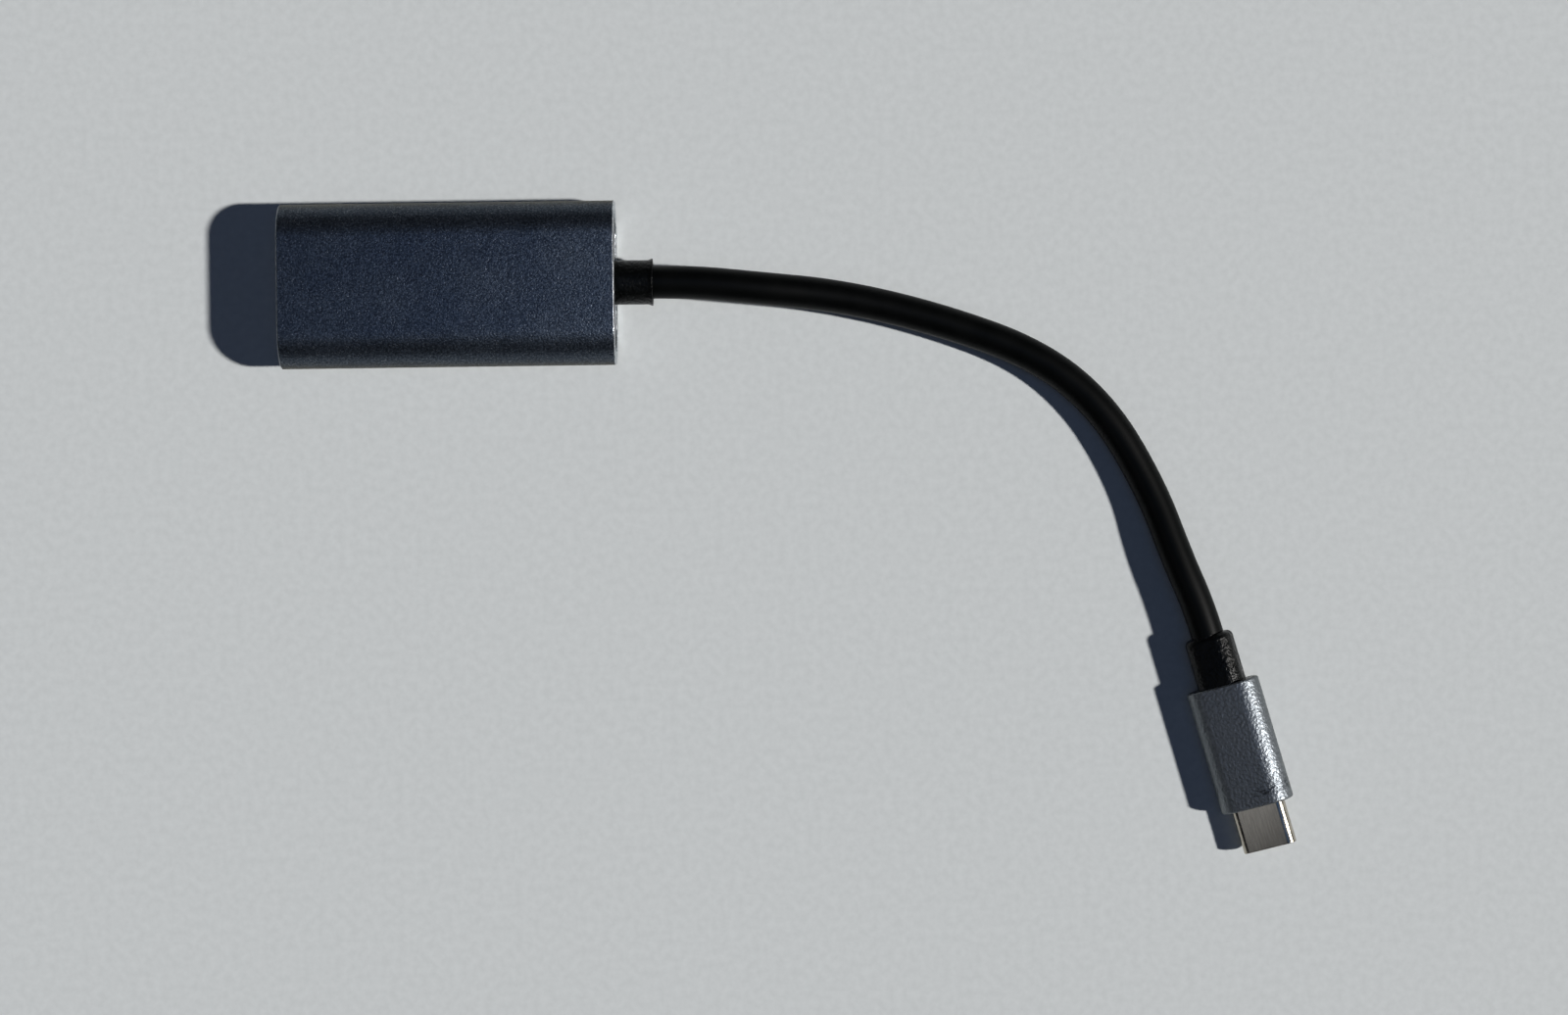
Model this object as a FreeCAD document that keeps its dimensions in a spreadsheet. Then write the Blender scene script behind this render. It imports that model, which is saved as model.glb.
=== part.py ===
import FreeCAD, Part
import math
import os
import re

import Sketcher

Vector = FreeCAD.Vector

# Driving sizes in millimetres and degrees. Each one can be changed by itself. A gap is measured
# between neighbouring sides, and a setback from the board's cable end to the middle of a part.
SIZES = {
    # Extruded aluminium housing: a flat bar with fully rounded long sides
    "housing_length": 50.5,
    "housing_width": 24.8,
    "housing_height": 11.0,
    "housing_wall": 1.3,
    "rim_chamfer": 0.25,
    "cap_seat": 2.6,
    "cap_recess": 0.25,
    "cap_edge": 0.25,
    "press_gap": 0.05,
    # Circuit board and the slots that carry it in the housing
    "board_tail_gap": 5.2,
    "board_width": 19.4,
    "board_thick": 1.0,
    "board_lift": 0.6,
    "board_end_gap": 0.1,
    "rail_grip": 0.9,
    "rail_thick": 0.8,
    "ledge_length": 1.5,
    "ledge_width": 12.0,
    # Video socket: a stamped shell with a narrower foot, round a tongue with two rows of contacts
    "socket_width": 14.6,
    "socket_height": 5.15,
    "socket_depth": 11.3,
    "socket_wall": 0.3,
    "socket_taper": 1.8,
    "socket_taper_rise": 2.3,
    "socket_corner": 0.5,
    "leg_width": 1.2,
    "leg_reach": 0.25,
    "leg_slot_gap": 0.2,
    "leg_front": 4.4,
    "leg_back": 9.6,
    "leaf_width": 1.7,
    "leaf_gap": 0.3,
    "leaf_spread": 6.4,
    "leaf_root": 6.8,
    "leaf_knee": 3.2,
    "leaf_tip": 2.2,
    "leaf_dip": 0.7,
    "leaf_lift": 0.35,
    "tongue_width": 10.9,
    "tongue_thick": 1.6,
    "tongue_height": 2.65,
    "tongue_recess": 0.9,
    "tongue_edge": 0.3,
    "tongue_block": 3.6,
    "contact_width": 0.34,
    "contact_thick": 0.15,
    "contact_pitch": 1.0,
    "contact_recess": 0.5,
    "contact_top_leg": 0.95,
    "contact_bottom_leg": 0.4,
    "contact_foot": 1.9,
    # Parts on the board
    "chip_side": 7.5,
    "chip_height": 0.85,
    "chip_gap": 2.8,
    "chip_mark_diameter": 0.9,
    "chip_mark_inset": 1.0,
    "chip_mark_depth": 0.1,
    "memory_length": 5.0,
    "memory_width": 3.9,
    "memory_height": 1.5,
    "memory_setback": 8.0,
    "memory_rail_gap": 0.7,
    "regulator_length": 3.0,
    "regulator_width": 1.7,
    "regulator_height": 1.1,
    "regulator_setback": 9.55,
    "regulator_rail_gap": 1.4,
    "memory_pitch": 1.27,
    "regulator_pitch": 0.95,
    "lead_width": 0.42,
    "lead_thick": 0.2,
    "lead_reach": 0.95,
    "lead_shoulder": 0.33,
    "crystal_length": 3.2,
    "crystal_width": 2.5,
    "crystal_height": 0.8,
    "crystal_gap": 1.2,
    "crystal_base": 0.3,
    "crystal_flange": 0.15,
    "inductor_side": 4.0,
    "inductor_height": 1.9,
    "inductor_setback": 5.55,
    "inductor_y": 4.3,
    "inductor_corner": 0.6,
    "inductor_ring": 3.2,
    "inductor_ring_width": 0.24,
    "inductor_ring_depth": 0.24,
    "capacitor_length": 1.6,
    "capacitor_width": 0.8,
    "capacitor_pitch": 2.0,
    "capacitor_row": 5.6,
    "resistor_length": 1.0,
    "resistor_width": 0.5,
    "resistor_height": 0.35,
    "resistor_pitch": 1.7,
    "resistor_row": 7.4,
    # Cable, its boot on the housing and what anchors it inside
    "cable_diameter": 5.0,
    "boot_diameter": 6.7,
    "boot_length": 5.65,
    "boot_lip": 0.3,
    "boot_lip_length": 0.7,
    "boot_dish_gap": 0.25,
    "boot_neck": 6.1,
    "boot_flange_gap": 0.2,
    "boot_flange_thick": 1.5,
    "clamp_length": 2.8,
    "clamp_wall": 0.5,
    "clamp_waist": 0.2,
    "clamp_land": 0.7,
    "clamp_slope": 0.3,
    "tail_reach": 0.7,
    "wire_diameter": 0.9,
    "wire_pitch": 2.6,
    "wire_land": 1.4,
    "wire_lead": 1.4,
    "wire_bundle_pitch": 0.77,
    "wire_bundle_rise": 0.72,
    # Plug on the far end, measured from the cable end of its boot towards the nose
    "plug_roll": 20.0,
    "plug_boot_length": 7.8,
    "plug_boot_width": 7.25,
    "plug_boot_height": 5.6,
    "plug_boot_corner": 2.3,
    "plug_boot_edge": 0.9,
    "sleeve_length": 19.0,
    "sleeve_width": 11.2,
    "sleeve_height": 6.0,
    "sleeve_wall": 0.6,
    "sleeve_edge": 0.2,
    "sleeve_recess": 0.25,
    "anchor_length": 2.0,
    "anchor_hole_width": 5.4,
    "anchor_hole_height": 3.0,
    "nose_length": 6.65,
    "nose_width": 8.25,
    "nose_height": 2.4,
    "nose_wall": 0.2,
    "nose_edge": 0.15,
    "nose_root": 6.8,
    "insulator_recess": 0.3,
    "cavity_width": 6.9,
    "cavity_depth": 5.6,
    "plug_contact_width": 0.26,
    "plug_contact_thick": 0.15,
    "plug_contact_pitch": 0.5,
    "plug_contact_recess": 0.7,
    "plug_contact_tail": 1.7,
    "latch_inset": 0.15,
    "latch_thick": 0.25,
    "latch_height": 0.9,
    "latch_length": 9.6,
    "latch_gap": 0.12,
    "latch_hook_land": 0.4,
    "latch_hook_ramp": 0.6,
    "ground_spring_length": 3.0,
    "ground_spring_width": 5.4,
    "ground_spring_thick": 0.12,
    "ground_spring_setback": 1.2,
    "can_width": 8.9,
    "can_height": 3.6,
    "can_wall": 0.2,
    "can_length": 9.5,
    "can_overlap": 2.0,
    "paddle_length": 6.8,
    "paddle_thick": 0.75,
    "paddle_gap": 0.15,
    "marker_side": 2.0,
    "marker_height": 0.6,
    "marker_place": 3.1,
    "plug_wire_diameter": 0.7,
    "plug_wire_spread": 1.7,
    "plug_wire_fan": 3.5,
    "plug_wire_lift": 0.9,
    "plug_wire_lead": 1.0,
    "plug_wire_land": 2.0,
}

# How many of each repeated piece there are
TOP_CONTACT_COUNT = 10
BOTTOM_CONTACT_COUNT = 9
PLUG_CONTACT_COUNT = 12
PLUG_SKIPPED_COUNT = 2
MEMORY_LEAD_COUNT = 4
REGULATOR_LEAD_COUNT = 3
CAPACITOR_ROW_COUNT = 4
RESISTOR_ROW_COUNT = 4
BOARD_WIRE_COUNT = 4
PLUG_WIRE_COUNT = 2

# An arc in a bent tube starts this share of the shorter run from its corner
ARC_SHARE = 0.45
# How far a tube's volume may be from its section times its length, as a share
VOLUME_SHARE = 0.01
# How a sweep passes a corner of its path
SMOOTH = 0
MITRED = 1
# Two places closer than this, in millimetres, are the same
NEAR = 1e-4

doc = FreeCAD.newDocument("display_adapter")
sheet = doc.addObject("Spreadsheet::Sheet", "Sizes")
for row, (name, number) in enumerate(SIZES.items(), start=1):
    sheet.set(f"A{row}", name)
    sheet.set(f"B{row}", str(number))
    sheet.setAlias(f"B{row}", name)
doc.recompute()

# Places that several pieces share, written from the sizes above
mid_height = "(housing_height / 2)"
board_bottom = "(housing_wall + board_lift)"
board_top = "(housing_wall + board_lift + board_thick)"
cap_inner = "(housing_length / 2 - cap_seat)"
cap_outer = "(housing_length / 2 - cap_recess)"
bore_width = "(housing_width - 2 * housing_wall)"
bore_height = "(housing_height - 2 * housing_wall)"
board_start = "(board_end_gap - housing_length / 2 + cap_seat)"
socket_mouth = "(cap_recess - housing_length / 2)"
socket_back = "(cap_recess - housing_length / 2 + socket_depth)"
socket_top = "(housing_wall + board_lift + board_thick + socket_height)"
flank_foot = "(housing_wall + board_lift + board_thick + socket_taper_rise)"
tongue_bottom = "(housing_wall + board_lift + board_thick + tongue_height - tongue_thick / 2)"
tongue_top = "(housing_wall + board_lift + board_thick + tongue_height + tongue_thick / 2)"
boot_face = "(housing_length / 2 - cap_recess + boot_length)"
flange_back = "(housing_length / 2 - cap_seat - boot_flange_thick)"
tail_end = "(housing_length / 2 - cap_seat - boot_flange_thick - clamp_length - tail_reach)"
board_end = f"({tail_end} - board_tail_gap)"
chip_x = f"({socket_back} + chip_gap + chip_side / 2)"
crystal_x = f"({chip_x} + chip_side / 2 + crystal_gap + crystal_length / 2)"
flange_radius = f"({bore_height} / 2 - boot_flange_gap)"
sleeve_front = "(plug_boot_length + sleeve_length)"
sleeve_bore_width = "(sleeve_width - 2 * sleeve_wall)"
sleeve_bore_height = "(sleeve_height - 2 * sleeve_wall)"
anchor_front = "(plug_boot_length + anchor_length)"
mould_front = "(plug_boot_length + sleeve_length - sleeve_recess)"
nose_tip = "(plug_boot_length + sleeve_length + nose_length)"
nose_back = "(plug_boot_length + sleeve_length - nose_root)"
can_front = "(plug_boot_length + sleeve_length - nose_root + can_overlap)"
insulator_front = "(plug_boot_length + sleeve_length + nose_length - insulator_recess)"
insulator_width = "(nose_width - 2 * nose_wall - 2 * press_gap)"
insulator_height = "(nose_height - 2 * nose_wall - 2 * press_gap)"
cavity_height = "(paddle_thick + 2 * plug_contact_thick)"


def linked(expression):
    """Write each size's name in an expression as a cell of the sheet."""
    def cell(match):
        word = match.group(0)
        return f"Sizes.{word}" if word in SIZES else word
    return re.sub(r"[a-z][a-z_]+", cell, expression)


def amount(expression):
    """The number that an expression of the sheet's sizes comes to."""
    return float(sheet.evalExpression(linked(expression)))


def bind(thing, prop, expression):
    thing.setExpression(prop, linked(expression))


def move_to(thing, x="0", y="0", z="0"):
    bind(thing, "Placement.Base.x", x)
    bind(thing, "Placement.Base.y", y)
    bind(thing, "Placement.Base.z", z)


# Sketches. Every outline is fully held by constraints that read the sheet.

def new_body(label):
    body = doc.addObject("PartDesign::Body", label)
    body.Label = label
    return body


def new_sketch(body, plane, shift="0"):
    """A sketch on one of the body's own origin planes, shifted along that plane's normal."""
    sketch = body.newObject("Sketcher::SketchObject", f"{body.Label}_outline")
    roles = {feature.Role: feature for feature in body.Origin.OriginFeatures}
    sketch.AttachmentSupport = [(roles[f"{plane}_Plane"], "")]
    sketch.MapMode = "FlatFace"
    bind(sketch, "AttachmentOffset.Base.z", shift)
    return sketch


def hold(sketch, kind, places, expression):
    index = sketch.addConstraint(Sketcher.Constraint(kind, *places, amount(expression)))
    sketch.setExpression(f"Constraints[{index}]", linked(expression))


def pin(sketch, edge, point, x, y):
    """Hold one point of an edge (1 start, 2 end, 3 centre) at x, y from the sketch's origin."""
    hold(sketch, "DistanceX", (-1, 1, edge, point), x)
    hold(sketch, "DistanceY", (-1, 1, edge, point), y)


def draw_polygon(sketch, corners):
    spots = [Vector(amount(x), amount(y), 0) for x, y in corners]
    count = len(spots)
    first = sketch.GeometryCount
    for i in range(count):
        sketch.addGeometry(Part.LineSegment(spots[i], spots[(i + 1) % count]))
    for i, (x, y) in enumerate(corners):
        following = first + (i + 1) % count
        sketch.addConstraint(Sketcher.Constraint("Coincident", first + i, 2, following, 1))
        pin(sketch, first + i, 1, x, y)


def draw_rectangle(sketch, left, right, low, high):
    draw_polygon(sketch, [(left, low), (right, low), (right, high), (left, high)])


def draw_arc(sketch, x, y, radius, start, stop):
    """An arc between two angles in degrees, with its centre and radius held."""
    round_edge = Part.Circle(Vector(amount(x), amount(y), 0), Vector(0, 0, 1), amount(radius))
    arc = Part.ArcOfCircle(round_edge, math.radians(start), math.radians(stop))
    index = sketch.addGeometry(arc)
    hold(sketch, "Radius", (index,), radius)
    pin(sketch, index, 3, x, y)
    return index


def join_tangent(sketch, edge, point, other, other_point):
    sketch.addConstraint(Sketcher.Constraint("Tangent", edge, point, other, other_point))


def line_between(sketch, arc, end, other, start):
    """A line from one arc's end to another arc's start, tangent to both."""
    a = sketch.getPoint(arc, end)
    b = sketch.getPoint(other, start)
    line = sketch.addGeometry(Part.LineSegment(a, b))
    join_tangent(sketch, arc, end, line, 1)
    join_tangent(sketch, line, 2, other, start)


def draw_stadium(sketch, width, height, y="0"):
    """A flat bar's section, with half round ends, centred on x = 0."""
    reach = f"(({width}) - ({height})) / 2"
    right = draw_arc(sketch, reach, y, f"({height}) / 2", -90, 90)
    left = draw_arc(sketch, f"-{reach}", y, f"({height}) / 2", 90, 270)
    line_between(sketch, right, 2, left, 1)
    line_between(sketch, left, 2, right, 1)


def draw_rounded_box(sketch, width, height, corner):
    """A rectangle with four equal round corners, centred on the sketch's origin."""
    across = f"(({width}) / 2 - ({corner}))"
    up = f"(({height}) / 2 - ({corner}))"
    corners = [
        (across, f"-{up}", -90), (across, up, 0),
        (f"-{across}", up, 90), (f"-{across}", f"-{up}", 180),
    ]
    arcs = [draw_arc(sketch, x, y, corner, start, start + 90) for x, y, start in corners]
    for arc, following in zip(arcs, arcs[1:] + arcs[:1]):
        line_between(sketch, arc, 2, following, 1)


def draw_circle(sketch, radius, y="0"):
    """A circle above or below the sketch's origin."""
    index = sketch.addGeometry(Part.Circle(Vector(0, amount(y), 0), Vector(0, 0, 1), amount(radius)))
    hold(sketch, "Radius", (index,), radius)
    pin(sketch, index, 3, "0", y)


# Features

def pad(body, sketch, length, both_ways=False):
    feature = body.newObject("PartDesign::Pad", f"{body.Label}_pad")
    feature.Profile = sketch
    bind(feature, "Length", length)
    feature.SideType = "Symmetric" if both_ways else "One side"
    return feature


def pocket(body, sketch, depth, both_ways=False, forward=False):
    """A cut against the sketch's normal, or along it where forward is set."""
    doc.recompute()
    before = body.Shape.Volume
    feature = body.newObject("PartDesign::Pocket", f"{body.Label}_pocket")
    feature.Profile = sketch
    bind(feature, "Length", depth)
    feature.SideType = "Symmetric" if both_ways else "One side"
    feature.Reversed = forward
    doc.recompute()
    if body.Shape.Volume > before - NEAR:
        raise RuntimeError(f"{body.Label}: a pocket cut nothing")
    return feature


def revolve(body, corners):
    """Turn an outline of (x, radius) corners round the body's X axis."""
    sketch = new_sketch(body, "XZ")
    draw_polygon(sketch, corners)
    feature = body.newObject("PartDesign::Revolution", f"{body.Label}_turn")
    feature.Profile = sketch
    feature.ReferenceAxis = (sketch, ["H_Axis"])
    feature.Angle = 360
    return feature


def repeat(body, feature, axis, count, pitch):
    """Copy a feature along one of the body's own axes."""
    roles = {item.Role: item for item in body.Origin.OriginFeatures}
    pattern = body.newObject("PartDesign::LinearPattern", f"{body.Label}_row")
    pattern.Originals = [feature]
    pattern.Direction = (roles[f"{axis}_Axis"], [""])
    pattern.Occurrences = count
    bind(pattern, "Length", f"{count - 1} * {pitch}")
    body.Tip = pattern
    return pattern


def edges_where(shape, test):
    return [f"Edge{i}" for i, edge in enumerate(shape.Edges, start=1) if test(edge)]


def lies_at(edge, x):
    return abs(edge.BoundBox.XMin - x) < NEAR and abs(edge.BoundBox.XMax - x) < NEAR


def runs_along_x(edge):
    return edge.BoundBox.YLength < NEAR and edge.BoundBox.ZLength < NEAR


def dress(body, kind, test, size):
    """Chamfer or round the edges of the body's last feature that a test picks."""
    doc.recompute()
    base = body.Tip
    feature = body.newObject(f"PartDesign::{kind}", f"{body.Label}_{kind.lower()}")
    feature.Base = (base, edges_where(base.Shape, test))
    bind(feature, "Size" if kind == "Chamfer" else "Radius", size)
    return feature


def new_box(name, length, width, height, x, y, z):
    """A block centred on x, y and standing on z."""
    box = doc.addObject("Part::Box", name)
    bind(box, "Length", length)
    bind(box, "Width", width)
    bind(box, "Height", height)
    move_to(box, f"{x} - ({length}) / 2", f"{y} - ({width}) / 2", z)
    return box


def join_solids(label, members, kind="Part::Compound"):
    """Several solids under one name, as a group or fused into one."""
    whole = doc.addObject(kind, label)
    if kind == "Part::Compound":
        whole.Links = members
    else:
        whole.Shapes = members
    whole.Label = label
    return whole


def cut_by(label, base, *tools):
    """The base less each tool, which keeps its own place in the document."""
    result = base
    for tool in tools:
        less = doc.addObject("Part::Cut", f"{label}_cut")
        less.Base = result
        less.Tool = tool
        result = less
    result.Label = label
    return result


# Bent tubes and wires

def tangent_path(points):
    """Straight runs with an arc at each inner point, as large as the shorter run beside it allows."""
    edges = []
    radii = []
    here = points[0]
    for before, corner, after in zip(points, points[1:], points[2:]):
        incoming = (corner - before).normalize()
        outgoing = (after - corner).normalize()
        half = incoming.getAngle(outgoing) / 2
        setback = ARC_SHARE * min((corner - before).Length, (after - corner).Length)
        radius = setback / math.tan(half)
        inward = (outgoing - incoming).normalize()
        start = corner - incoming * setback
        middle = corner + inward * (radius / math.cos(half) - radius)
        stop = corner + outgoing * setback
        edges.append(Part.LineSegment(here, start).toShape())
        edges.append(Part.Arc(start, middle, stop).toShape())
        radii.append(round(radius, 1))
        here = stop
    edges.append(Part.LineSegment(here, points[-1]).toShape())
    print("cable bend radii", radii)
    return Part.Wire(edges)


def swept(path, points, diameter, transition):
    """A round bar along a path, whose volume has to be its section times the path's length."""
    ring = Part.Circle(points[0], points[1] - points[0], diameter / 2).toShape()
    solid = path.makePipeShell([Part.Wire([ring])], True, False, transition)
    expected = math.pi * diameter ** 2 / 4 * path.Length
    if abs(solid.Volume - expected) > VOLUME_SHARE * expected:
        raise RuntimeError("a tube's volume isn't its section times its length")
    return solid


def bent_wire(points, diameter):
    """A thin wire of straight runs, mitred at its bends."""
    return swept(Part.makePolygon(points), points, diameter, MITRED)


def new_shape(label, shape, placement=None):
    piece = doc.addObject("Part::Feature", label)
    piece.Label = label
    piece.Shape = shape
    if placement:
        piece.Placement = placement
    return piece


# Housing sleeve

def draw_rail(sketch, side):
    """A board rail's section: a corner of the bore, closed by a wall and a top."""
    inner = f"{side} * (board_width / 2 - rail_grip)"
    top = f"{board_top} + press_gap + rail_thick"
    centre_y = f"{side} * (housing_width - housing_height) / 2"
    radius = "(housing_height - housing_wall) / 2"
    edge_y = amount(inner) - amount(centre_y)
    foot = math.degrees(math.asin(edge_y / amount(radius)))
    crest = math.degrees(math.acos((amount(mid_height) - amount(top)) / amount(radius)))
    turns = (foot - 90, crest - 90) if side > 0 else (-90 - crest, foot - 90)
    arc = draw_arc(sketch, centre_y, mid_height, radius, *turns)
    low, high = (1, 2) if side > 0 else (2, 1)
    corner = Vector(amount(inner), amount(top), 0)
    wall = sketch.addGeometry(Part.LineSegment(sketch.getPoint(arc, low), corner))
    lid = sketch.addGeometry(Part.LineSegment(corner, sketch.getPoint(arc, high)))
    sketch.addConstraint(Sketcher.Constraint("Coincident", wall, 1, arc, low))
    sketch.addConstraint(Sketcher.Constraint("Coincident", wall, 2, lid, 1))
    sketch.addConstraint(Sketcher.Constraint("Coincident", lid, 2, arc, high))
    sketch.addConstraint(Sketcher.Constraint("Vertical", wall))
    sketch.addConstraint(Sketcher.Constraint("Horizontal", lid))
    pin(sketch, wall, 2, inner, top)


def make_housing_sleeve():
    body = new_body("housing_sleeve")
    outline = new_sketch(body, "YZ")
    draw_stadium(outline, "housing_width", "housing_height", mid_height)
    pad(body, outline, "housing_length", both_ways=True)
    bore = new_sketch(body, "YZ")
    draw_stadium(bore, bore_width, bore_height, mid_height)
    pocket(body, bore, "2 * housing_length", both_ways=True)
    # The rails are milled back at both ends, where the end caps sit
    railed = f"2 * {cap_inner}"
    rails = new_sketch(body, "YZ")
    for side in (1, -1):
        draw_rail(rails, side)
    pad(body, rails, railed, both_ways=True)
    slot = new_sketch(body, "YZ")
    reach = "board_width / 2 + press_gap"
    draw_rectangle(slot, f"-({reach})", reach, board_bottom, f"{board_top} + press_gap")
    pocket(body, slot, railed, both_ways=True)
    end = amount("housing_length / 2")
    dress(body, "Chamfer", lambda edge: lies_at(edge, end) or lies_at(edge, -end), "rim_chamfer")


# End caps

def draw_socket_outline(sketch, inset):
    """The video socket's section: square shoulders above, flanks that lean in below."""
    lean = "tan(atan(socket_taper / socket_taper_rise) / 2)"
    side = f"(socket_width / 2 - ({inset}))"
    knee = f"({flank_foot} + ({inset}) * {lean})"
    foot = f"(socket_width / 2 - socket_taper - ({inset}) * (1 - {lean}) / (1 + {lean}))"
    low = f"({board_top} + ({inset}))"
    high = f"({socket_top} - ({inset}))"
    right = [(foot, low), (side, knee), (side, high)]
    left = [(f"-{y}", z) for y, z in reversed(right)]
    draw_polygon(sketch, right + left)


def pad_cap(body, start):
    """A press-in end cap's plate, from its place along the housing towards +X."""
    outline = new_sketch(body, "YZ", start)
    draw_stadium(outline, f"{bore_width} - 2 * press_gap", f"{bore_height} - 2 * press_gap", mid_height)
    pad(body, outline, "cap_seat - cap_recess")


def chamfer_cap_rim(body, face):
    """Chamfer the outside edges of a cap's visible face, and leave its opening sharp."""
    side = amount(f"{bore_width} / 2 - {bore_height} / 2")
    rise = amount(f"{bore_height} / 2 - 2 * press_gap")

    def on_rim(edge):
        box = edge.BoundBox
        flat = max(abs(box.ZMax - amount(mid_height)), abs(box.ZMin - amount(mid_height))) > rise
        rounded = max(abs(box.YMax), abs(box.YMin)) > side + rise
        return lies_at(edge, face) and (flat or rounded)
    dress(body, "Chamfer", on_rim, "cap_edge")


def make_port_end_cap():
    body = new_body("port_end_cap")
    pad_cap(body, f"-{cap_outer}")
    opening = new_sketch(body, "YZ")
    draw_socket_outline(opening, "-press_gap")
    pocket(body, opening, "2 * housing_length", both_ways=True)
    # A ledge on the inside carries the board's front edge
    ledge = new_sketch(body, "YZ", f"-{cap_inner}")
    draw_rectangle(ledge, "-ledge_width / 2", "ledge_width / 2", "housing_wall + press_gap", board_bottom)
    pad(body, ledge, "ledge_length")
    chamfer_cap_rim(body, -amount(cap_outer))


def make_cable_end_cap():
    body = new_body("cable_end_cap")
    pad_cap(body, cap_inner)
    hole = new_sketch(body, "YZ")
    draw_circle(hole, "boot_neck / 2 + press_gap", mid_height)
    pocket(body, hole, "2 * housing_length", both_ways=True)
    chamfer_cap_rim(body, amount(cap_outer))


# Circuit board

def leg_places():
    """Front to back middles of the socket's legs, as places along the housing."""
    return [f"({socket_mouth} + {name})" for name in ("leg_front", "leg_back")]


def draw_legs(sketch, gap):
    """Plan of the socket's four legs, grown by a gap on every side."""
    outer = f"socket_width / 2 + ({gap})"
    inner = f"socket_width / 2 - socket_wall - ({gap})"
    for middle in leg_places():
        start = f"{middle} - leg_width / 2 - ({gap})"
        stop = f"{middle} + leg_width / 2 + ({gap})"
        draw_rectangle(sketch, start, stop, inner, outer)
        draw_rectangle(sketch, start, stop, f"-({outer})", f"-({inner})")


def make_main_board():
    body = new_body("main_board")
    outline = new_sketch(body, "XY", board_bottom)
    side = "board_width / 2"
    draw_rectangle(outline, board_start, board_end, f"-{side}", side)
    pad(body, outline, "board_thick")
    slots = new_sketch(body, "XY", board_bottom)
    draw_legs(slots, "leg_slot_gap")
    pocket(body, slots, "3 * board_thick", both_ways=True)


# Video socket

def draw_leaf(sketch, wall_face, side):
    """A contact leaf cut from the shell's wall: it dips into the socket and its tip turns back."""
    root = f"{socket_mouth} + leaf_root"
    knee = f"{socket_mouth} + leaf_knee"
    tip = f"{socket_mouth} + leaf_tip"
    lines = [(root, "0"), (knee, "leaf_dip"), (tip, "(leaf_dip - leaf_lift)")]
    outer = [(x, f"{wall_face} + {side} * {dip}") for x, dip in lines]
    inner = [(x, f"{wall_face} + {side} * ({dip} + socket_wall)") for x, dip in lines]
    draw_polygon(sketch, outer + inner[::-1])


def make_socket_shell():
    body = new_body("socket_shell")
    outline = new_sketch(body, "YZ", socket_mouth)
    draw_socket_outline(outline, "0")
    pad(body, outline, "socket_depth")
    dress(body, "Fillet", runs_along_x, "socket_corner")
    doc.recompute()
    base = body.Tip
    ends = (amount(socket_mouth), amount(socket_back))
    faces = [
        f"Face{i}" for i, face in enumerate(base.Shape.Faces, start=1)
        if any(lies_at(face, x) for x in ends)
    ]
    shell = body.newObject("PartDesign::Thickness", "socket_shell_walls")
    shell.Base = (base, faces)
    shell.Reversed = True
    bind(shell, "Value", "socket_wall")
    legs = new_sketch(body, "XY", f"{board_bottom} - leg_reach")
    draw_legs(legs, "0")
    pad(body, legs, f"{flank_foot} + socket_wall * 2 - {board_bottom} + leg_reach")
    # Four windows, two above and two below, each with its leaf
    walls = [(socket_top, -1, socket_top), (board_top, 1, f"{board_top} + socket_wall")]
    for wall_face, side, level in walls:
        windows = new_sketch(body, "XY", level)
        for hand in (1, -1):
            middle = f"{hand} * leaf_spread / 2"
            half = "leaf_width / 2 + leaf_gap"
            start = f"{socket_mouth} + leaf_tip - leaf_gap"
            stop = f"{socket_mouth} + leaf_root"
            draw_rectangle(windows, start, stop, f"{middle} - ({half})", f"{middle} + ({half})")
        pocket(body, windows, "socket_wall")
        for hand in (1, -1):
            leaf = new_sketch(body, "XZ", f"{hand} * leaf_spread / 2")
            draw_leaf(leaf, wall_face, side)
            pad(body, leaf, "leaf_width", both_ways=True)


def make_contact_row(body, count, level, lift, leg):
    """One row of bent contacts: along the tongue, down behind its block and out on the board."""
    front = f"{socket_mouth} + tongue_recess + contact_recess"
    leg_out = f"{socket_back} + {leg}"
    foot = f"{socket_back} + contact_foot"
    upper = f"{level} + contact_thick * {lift}"
    lower = f"{level} + contact_thick * {lift - 1}"
    base = f"{board_top} + contact_thick"
    corners = [
        (front, lower), (f"{leg_out} - contact_thick", lower), (f"{leg_out} - contact_thick", board_top),
        (foot, board_top), (foot, base), (leg_out, base), (leg_out, upper), (front, upper),
    ]
    sketch = new_sketch(body, "XZ", f"{count - 1} * contact_pitch / 2")
    draw_polygon(sketch, corners)
    repeat(body, pad(body, sketch, "contact_width", both_ways=True), "Y", count, "contact_pitch")


def make_socket_contacts():
    body = new_body("socket_contacts")
    make_contact_row(body, TOP_CONTACT_COUNT, tongue_top, 1, "contact_top_leg")
    make_contact_row(body, BOTTOM_CONTACT_COUNT, tongue_bottom, 0, "contact_bottom_leg")
    return body


def make_socket_tongue(contacts):
    body = new_body("socket_insulator")
    block = new_sketch(body, "YZ", f"{socket_back} - tongue_block")
    draw_socket_outline(block, "socket_wall + 2 * press_gap")
    pad(body, block, "tongue_block")
    front = f"{socket_mouth} + tongue_recess"
    tongue = new_sketch(body, "YZ", front)
    draw_rectangle(tongue, "-tongue_width / 2", "tongue_width / 2", tongue_bottom, tongue_top)
    pad(body, tongue, "socket_depth - tongue_recess - tongue_block / 2")
    place = amount(front)
    dress(body, "Chamfer", lambda edge: lies_at(edge, place), "tongue_edge")
    cut_by("socket_tongue", body, contacts)


# Parts soldered to the board

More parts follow.
